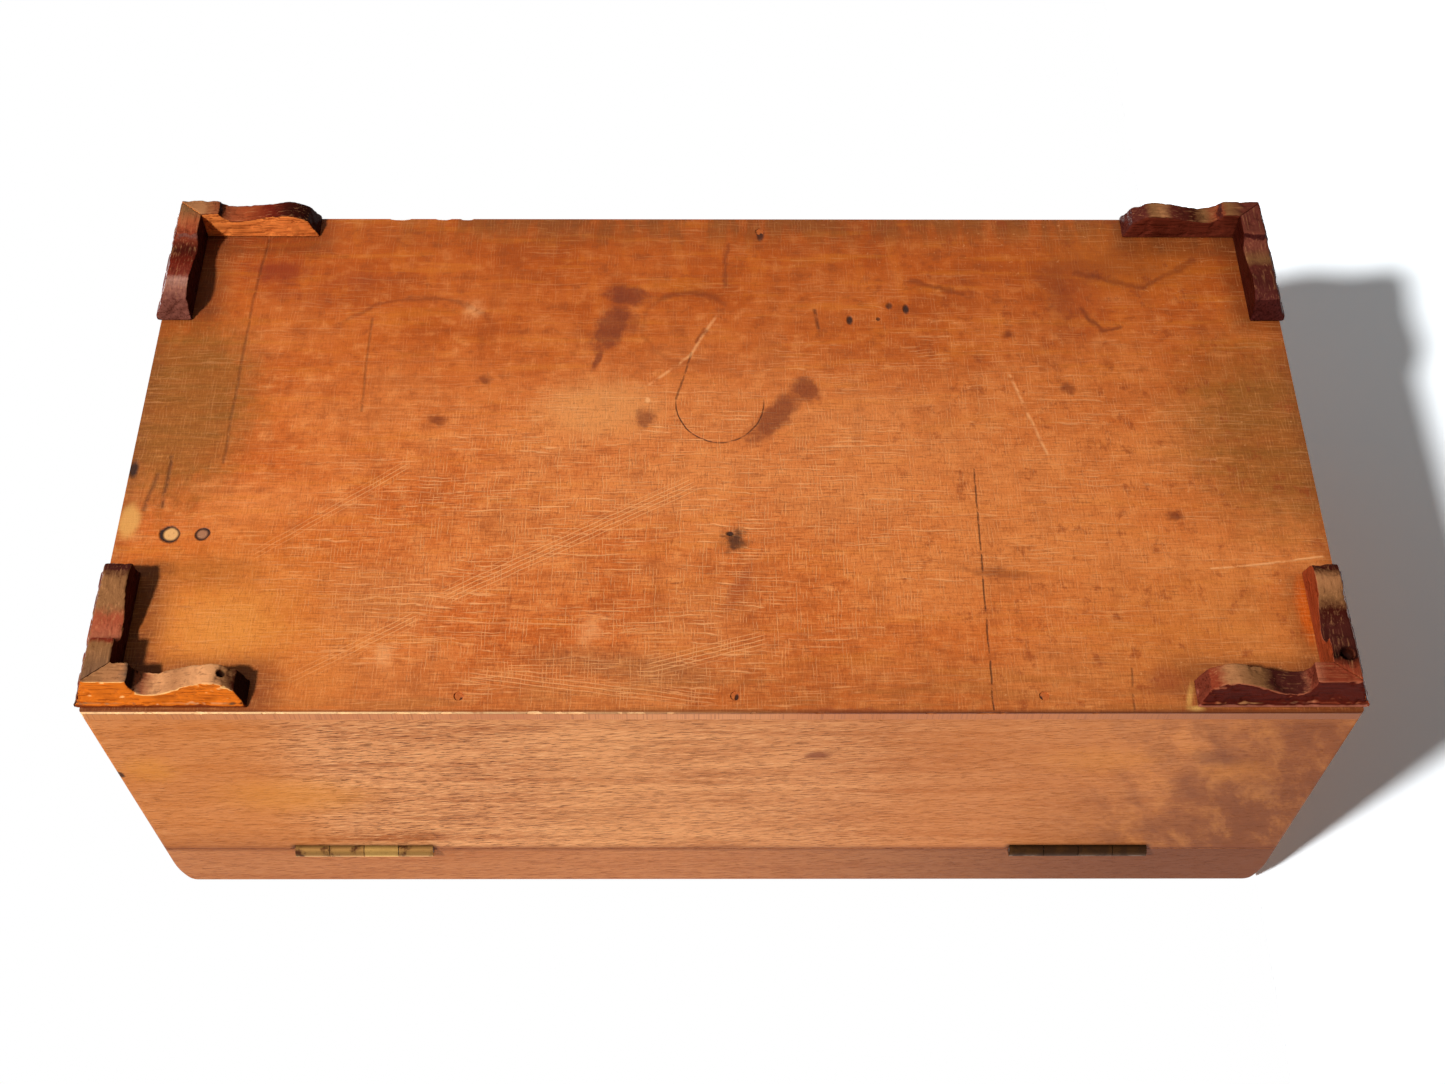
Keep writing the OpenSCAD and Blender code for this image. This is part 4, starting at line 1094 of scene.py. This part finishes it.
def dress_wood():
    dress(mahogany("mahogany_front", shift=10), "front_board")
    dress(mahogany("mahogany_back", shift=20, marks=back_marks), "back_board")
    dress(mahogany("mahogany_left", "Y", "Z", 30), "left_end_board")
    dress(mahogany("mahogany_right", "Y", "Z", 40), "right_end_board")
    dress(mahogany("mahogany_lid", "X", "Y", 50), "lid_top_board")
    lid_ends = mahogany("mahogany_lid_ends", "Y", "Z", 80)
    lid_rail_piece("front", mahogany("mahogany_lid_front", shift=60))
    lid_rail_piece("back", mahogany("mahogany_band", shift=70, marks=band_marks))
    lid_rail_piece("left", lid_ends)
    lid_rail_piece("right", lid_ends)
    dress(plug_paint(), "bottom_plugs")
    dress(filled_nails(), "bottom_nails")
    for name in ("front_board", "back_board", "left_end_board", "right_end_board", "lid_top_board"):
        add_modifier(nodes[name], "WELD", {"merge_threshold": 0.000002})
        add_modifier(nodes[name], "BEVEL", eased(0.3))


def dress_metal():
    left = brass(
        "brass_left_hinge", rgb(250, 200, 108), rgb(190, 130, 74), rgb(60, 26, 12), 0.55, 0,
        ((-98.7, -89.6),))
    right = brass(
        "brass_right_hinge", rgb(96, 60, 22), rgb(62, 36, 12), rgb(46, 26, 10), 0.9, 4, ((79.9, 80.8),))
    lock = brass("brass_lock", rgb(232, 190, 110), rgb(196, 146, 72), rgb(110, 76, 34), 0.35, 9)
    key = brass("brass_key", rgb(226, 184, 104), rgb(170, 122, 56), rgb(92, 62, 28), 0.4, 14)
    steel = iron("lock_steel", rgb(150, 148, 144), rgb(88, 58, 38), 0.25)
    parts = "case_leaf", "lid_leaf", "case_screws", "lid_screws"
    for side, metal in (("left", left), ("right", right)):
        dress(metal, *(f"{side}_hinge_{part}" for part in parts))
        dress(steel, f"{side}_hinge_pin")
    dress(lock, "lock_plate", "lock_cap", "lock_screws")
    dress(lock, "link_plate", "link_plate_screws", "keyhole_liner")
    dress(key, "key")
    dress(steel, "lock_rivets", "lock_bolt", "lock_spring")


# Each foot half: (tops, outer face, inner face, end face, rim, lip), as foot_paint takes them
FEET = {
    # Its end face is painted near black as shade on the face turned from the window, and its pale rim is
    # a painted highlight.
    ("back", "left", "long"): (
        ((0, SMOKE), (3, KHAKI), (12.5, SAND), (14.5, SMOKE), (17, rgb(150, 84, 54)), (20, STRAW),
         (25, SAND), (31, STRAW), (35, STRAW), (37, KHAKI), (39.5, MAROON)),
        VIVID, MAROON, INK, rgb(240, 186, 116), LIP),
    ("back", "left", "end"): (
        ((0, SMOKE), (12.5, KHAKI), (14, CHERRY), (17, ROSE), (22, rgb(150, 70, 44)), (25, KHAKI),
         (32, KHAKI), (34.5, PLUMMY), (38, PLUMMY)),
        CHERRY, rgb(58, 20, 12), PLUMMY, KHAKI, MAROON),
    # Its rosy lip is a painted highlight along the base of the outer face.
    ("back", "right", "long"): (
        ((0, BRICK), (12, BRICK), (14, ROSE), (17, PLUMMY), (24, PLUMMY), (27, KHAKI), (35, SAND),
         (38, BRICK)),
        rgb(74, 20, 10), BRICK, rgb(116, 52, 36), ROSE, rgb(166, 96, 74)),
    ("back", "right", "end"): (
        ((0, BRICK), (6, BRICK), (9, INK), (13, PLUMMY), (20, PLUMMY), (24, MAROON), (27, KHAKI),
         (32, SAND), (35, MAROON), (38, PLUMMY)),
        MAROON, rgb(144, 62, 32), PLUMMY, ROSE, MAROON),
    ("front", "left", "long"): (
        ((0, KHAKI), (10, SAND), (12, rgb(150, 88, 52)), (16, rgb(150, 74, 44)), (22, rgb(156, 70, 36)),
         (28, CHERRY), (33, MAROON), (40, INK)),
        CHERRY, rgb(226, 128, 60), rgb(52, 20, 14), MAROON, MAROON),
    ("front", "left", "end"): (
        ((0, KHAKI), (6, KHAKI), (10, rgb(168, 86, 50)), (14, BRICK), (18, MAROON), (24, CHERRY),
         # The pale stop at 31 mm is a painted highlight on the nose.
         (29, rgb(126, 52, 38)), (31, rgb(176, 122, 104)), (34, rgb(142, 88, 72)),
         (38, rgb(112, 62, 52))),
        CHERRY, rgb(50, 18, 12), rgb(120, 70, 58), MAROON, MAROON),
    ("front", "right", "long"): (
        ((0, rgb(112, 54, 42)), (8, rgb(96, 42, 32)), (13, KHAKI), (15, BRICK), (19, KHAKI), (22, MAROON),
         (28, rgb(100, 42, 32)), (31, SAND), (34, KHAKI), (36, rgb(92, 40, 32))),
        MAROON, rgb(98, 40, 26), rgb(84, 36, 28), MAROON, MAROON),
    ("front", "right", "end"): (
        ((0, rgb(112, 54, 42)), (10, rgb(104, 48, 38)), (18, rgb(120, 62, 46)), (22, KHAKI),
         (25, rgb(96, 42, 32)), (32, rgb(78, 32, 26)), (38, rgb(92, 42, 36))),
        MAROON, MAROON, rgb(70, 28, 24), MAROON, MAROON),
}

# Holes in the feet's sole sides: (x, y, radius, depth)
PITS = {
    ("back", "right", "end"): ((150.3, 68.7, 1.8, 2.2),),
    ("back", "left", "long"): ((-120.1, 73.4, 0.9, 1),),
}


def nail_stub():
    """The broken nail that shows in the hole of the back right foot."""
    shape = bmesh.new()
    x, y, _, _ = PITS["back", "right", "end"][0]
    place = Vector((x + 0.5, y + 0.2, 0)) * MM
    place.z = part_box("back_right_foot_end_half")[1].z - 5.2 * MM
    tip, shank, length, lean = 0.42 * MM, 0.5 * MM, 4 * MM, 0.12
    bmesh.ops.create_cone(
        shape, cap_ends=True, segments=12, radius1=tip, radius2=shank, depth=length,
        matrix=Matrix.Translation(place) @ Matrix.Rotation(lean, 4, "Y"))
    bmesh.ops.bevel(shape, geom=shape.edges[:], offset=0.1 * MM, segments=2, affect="EDGES")
    mesh = bpy.data.meshes.new("nail_stub")
    shape.to_mesh(mesh)
    shape.free()
    worn_iron = iron("worn_iron", rgb(220, 214, 204), rgb(120, 80, 56), 0.2)
    new_piece("foot_nail_stub", mesh, "case", worn_iron)


def dress_feet():
    for (side_y, side_x, half), look in FEET.items():
        low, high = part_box(f"{side_y}_{side_x}_foot_{half}_half")
        sign_x, sign_y = (1 if side_x == "right" else -1), (1 if side_y == "back" else -1)
        if half == "long":
            run = ("X", max(abs(low.x), abs(high.x)) / MM, -sign_x, (sign_y, "Y"))
        else:
            run = ("Y", max(abs(low.y), abs(high.y)) / MM, -sign_y, (sign_x, "X"))
        pits = PITS.get((side_y, side_x, half), ())
        finish = foot_paint(f"foot_{side_y}_{side_x}_{half}", *run, pits, *look)
        foot_piece(side_y, side_x, half, finish, pits)
    nail_stub()


make_camera()
dress_wood()
dress_metal()
bottom_piece()
dress_feet()
make_world()
make_lamps()
make_stage()
bpy.context.scene.view_settings.view_transform = "Standard"
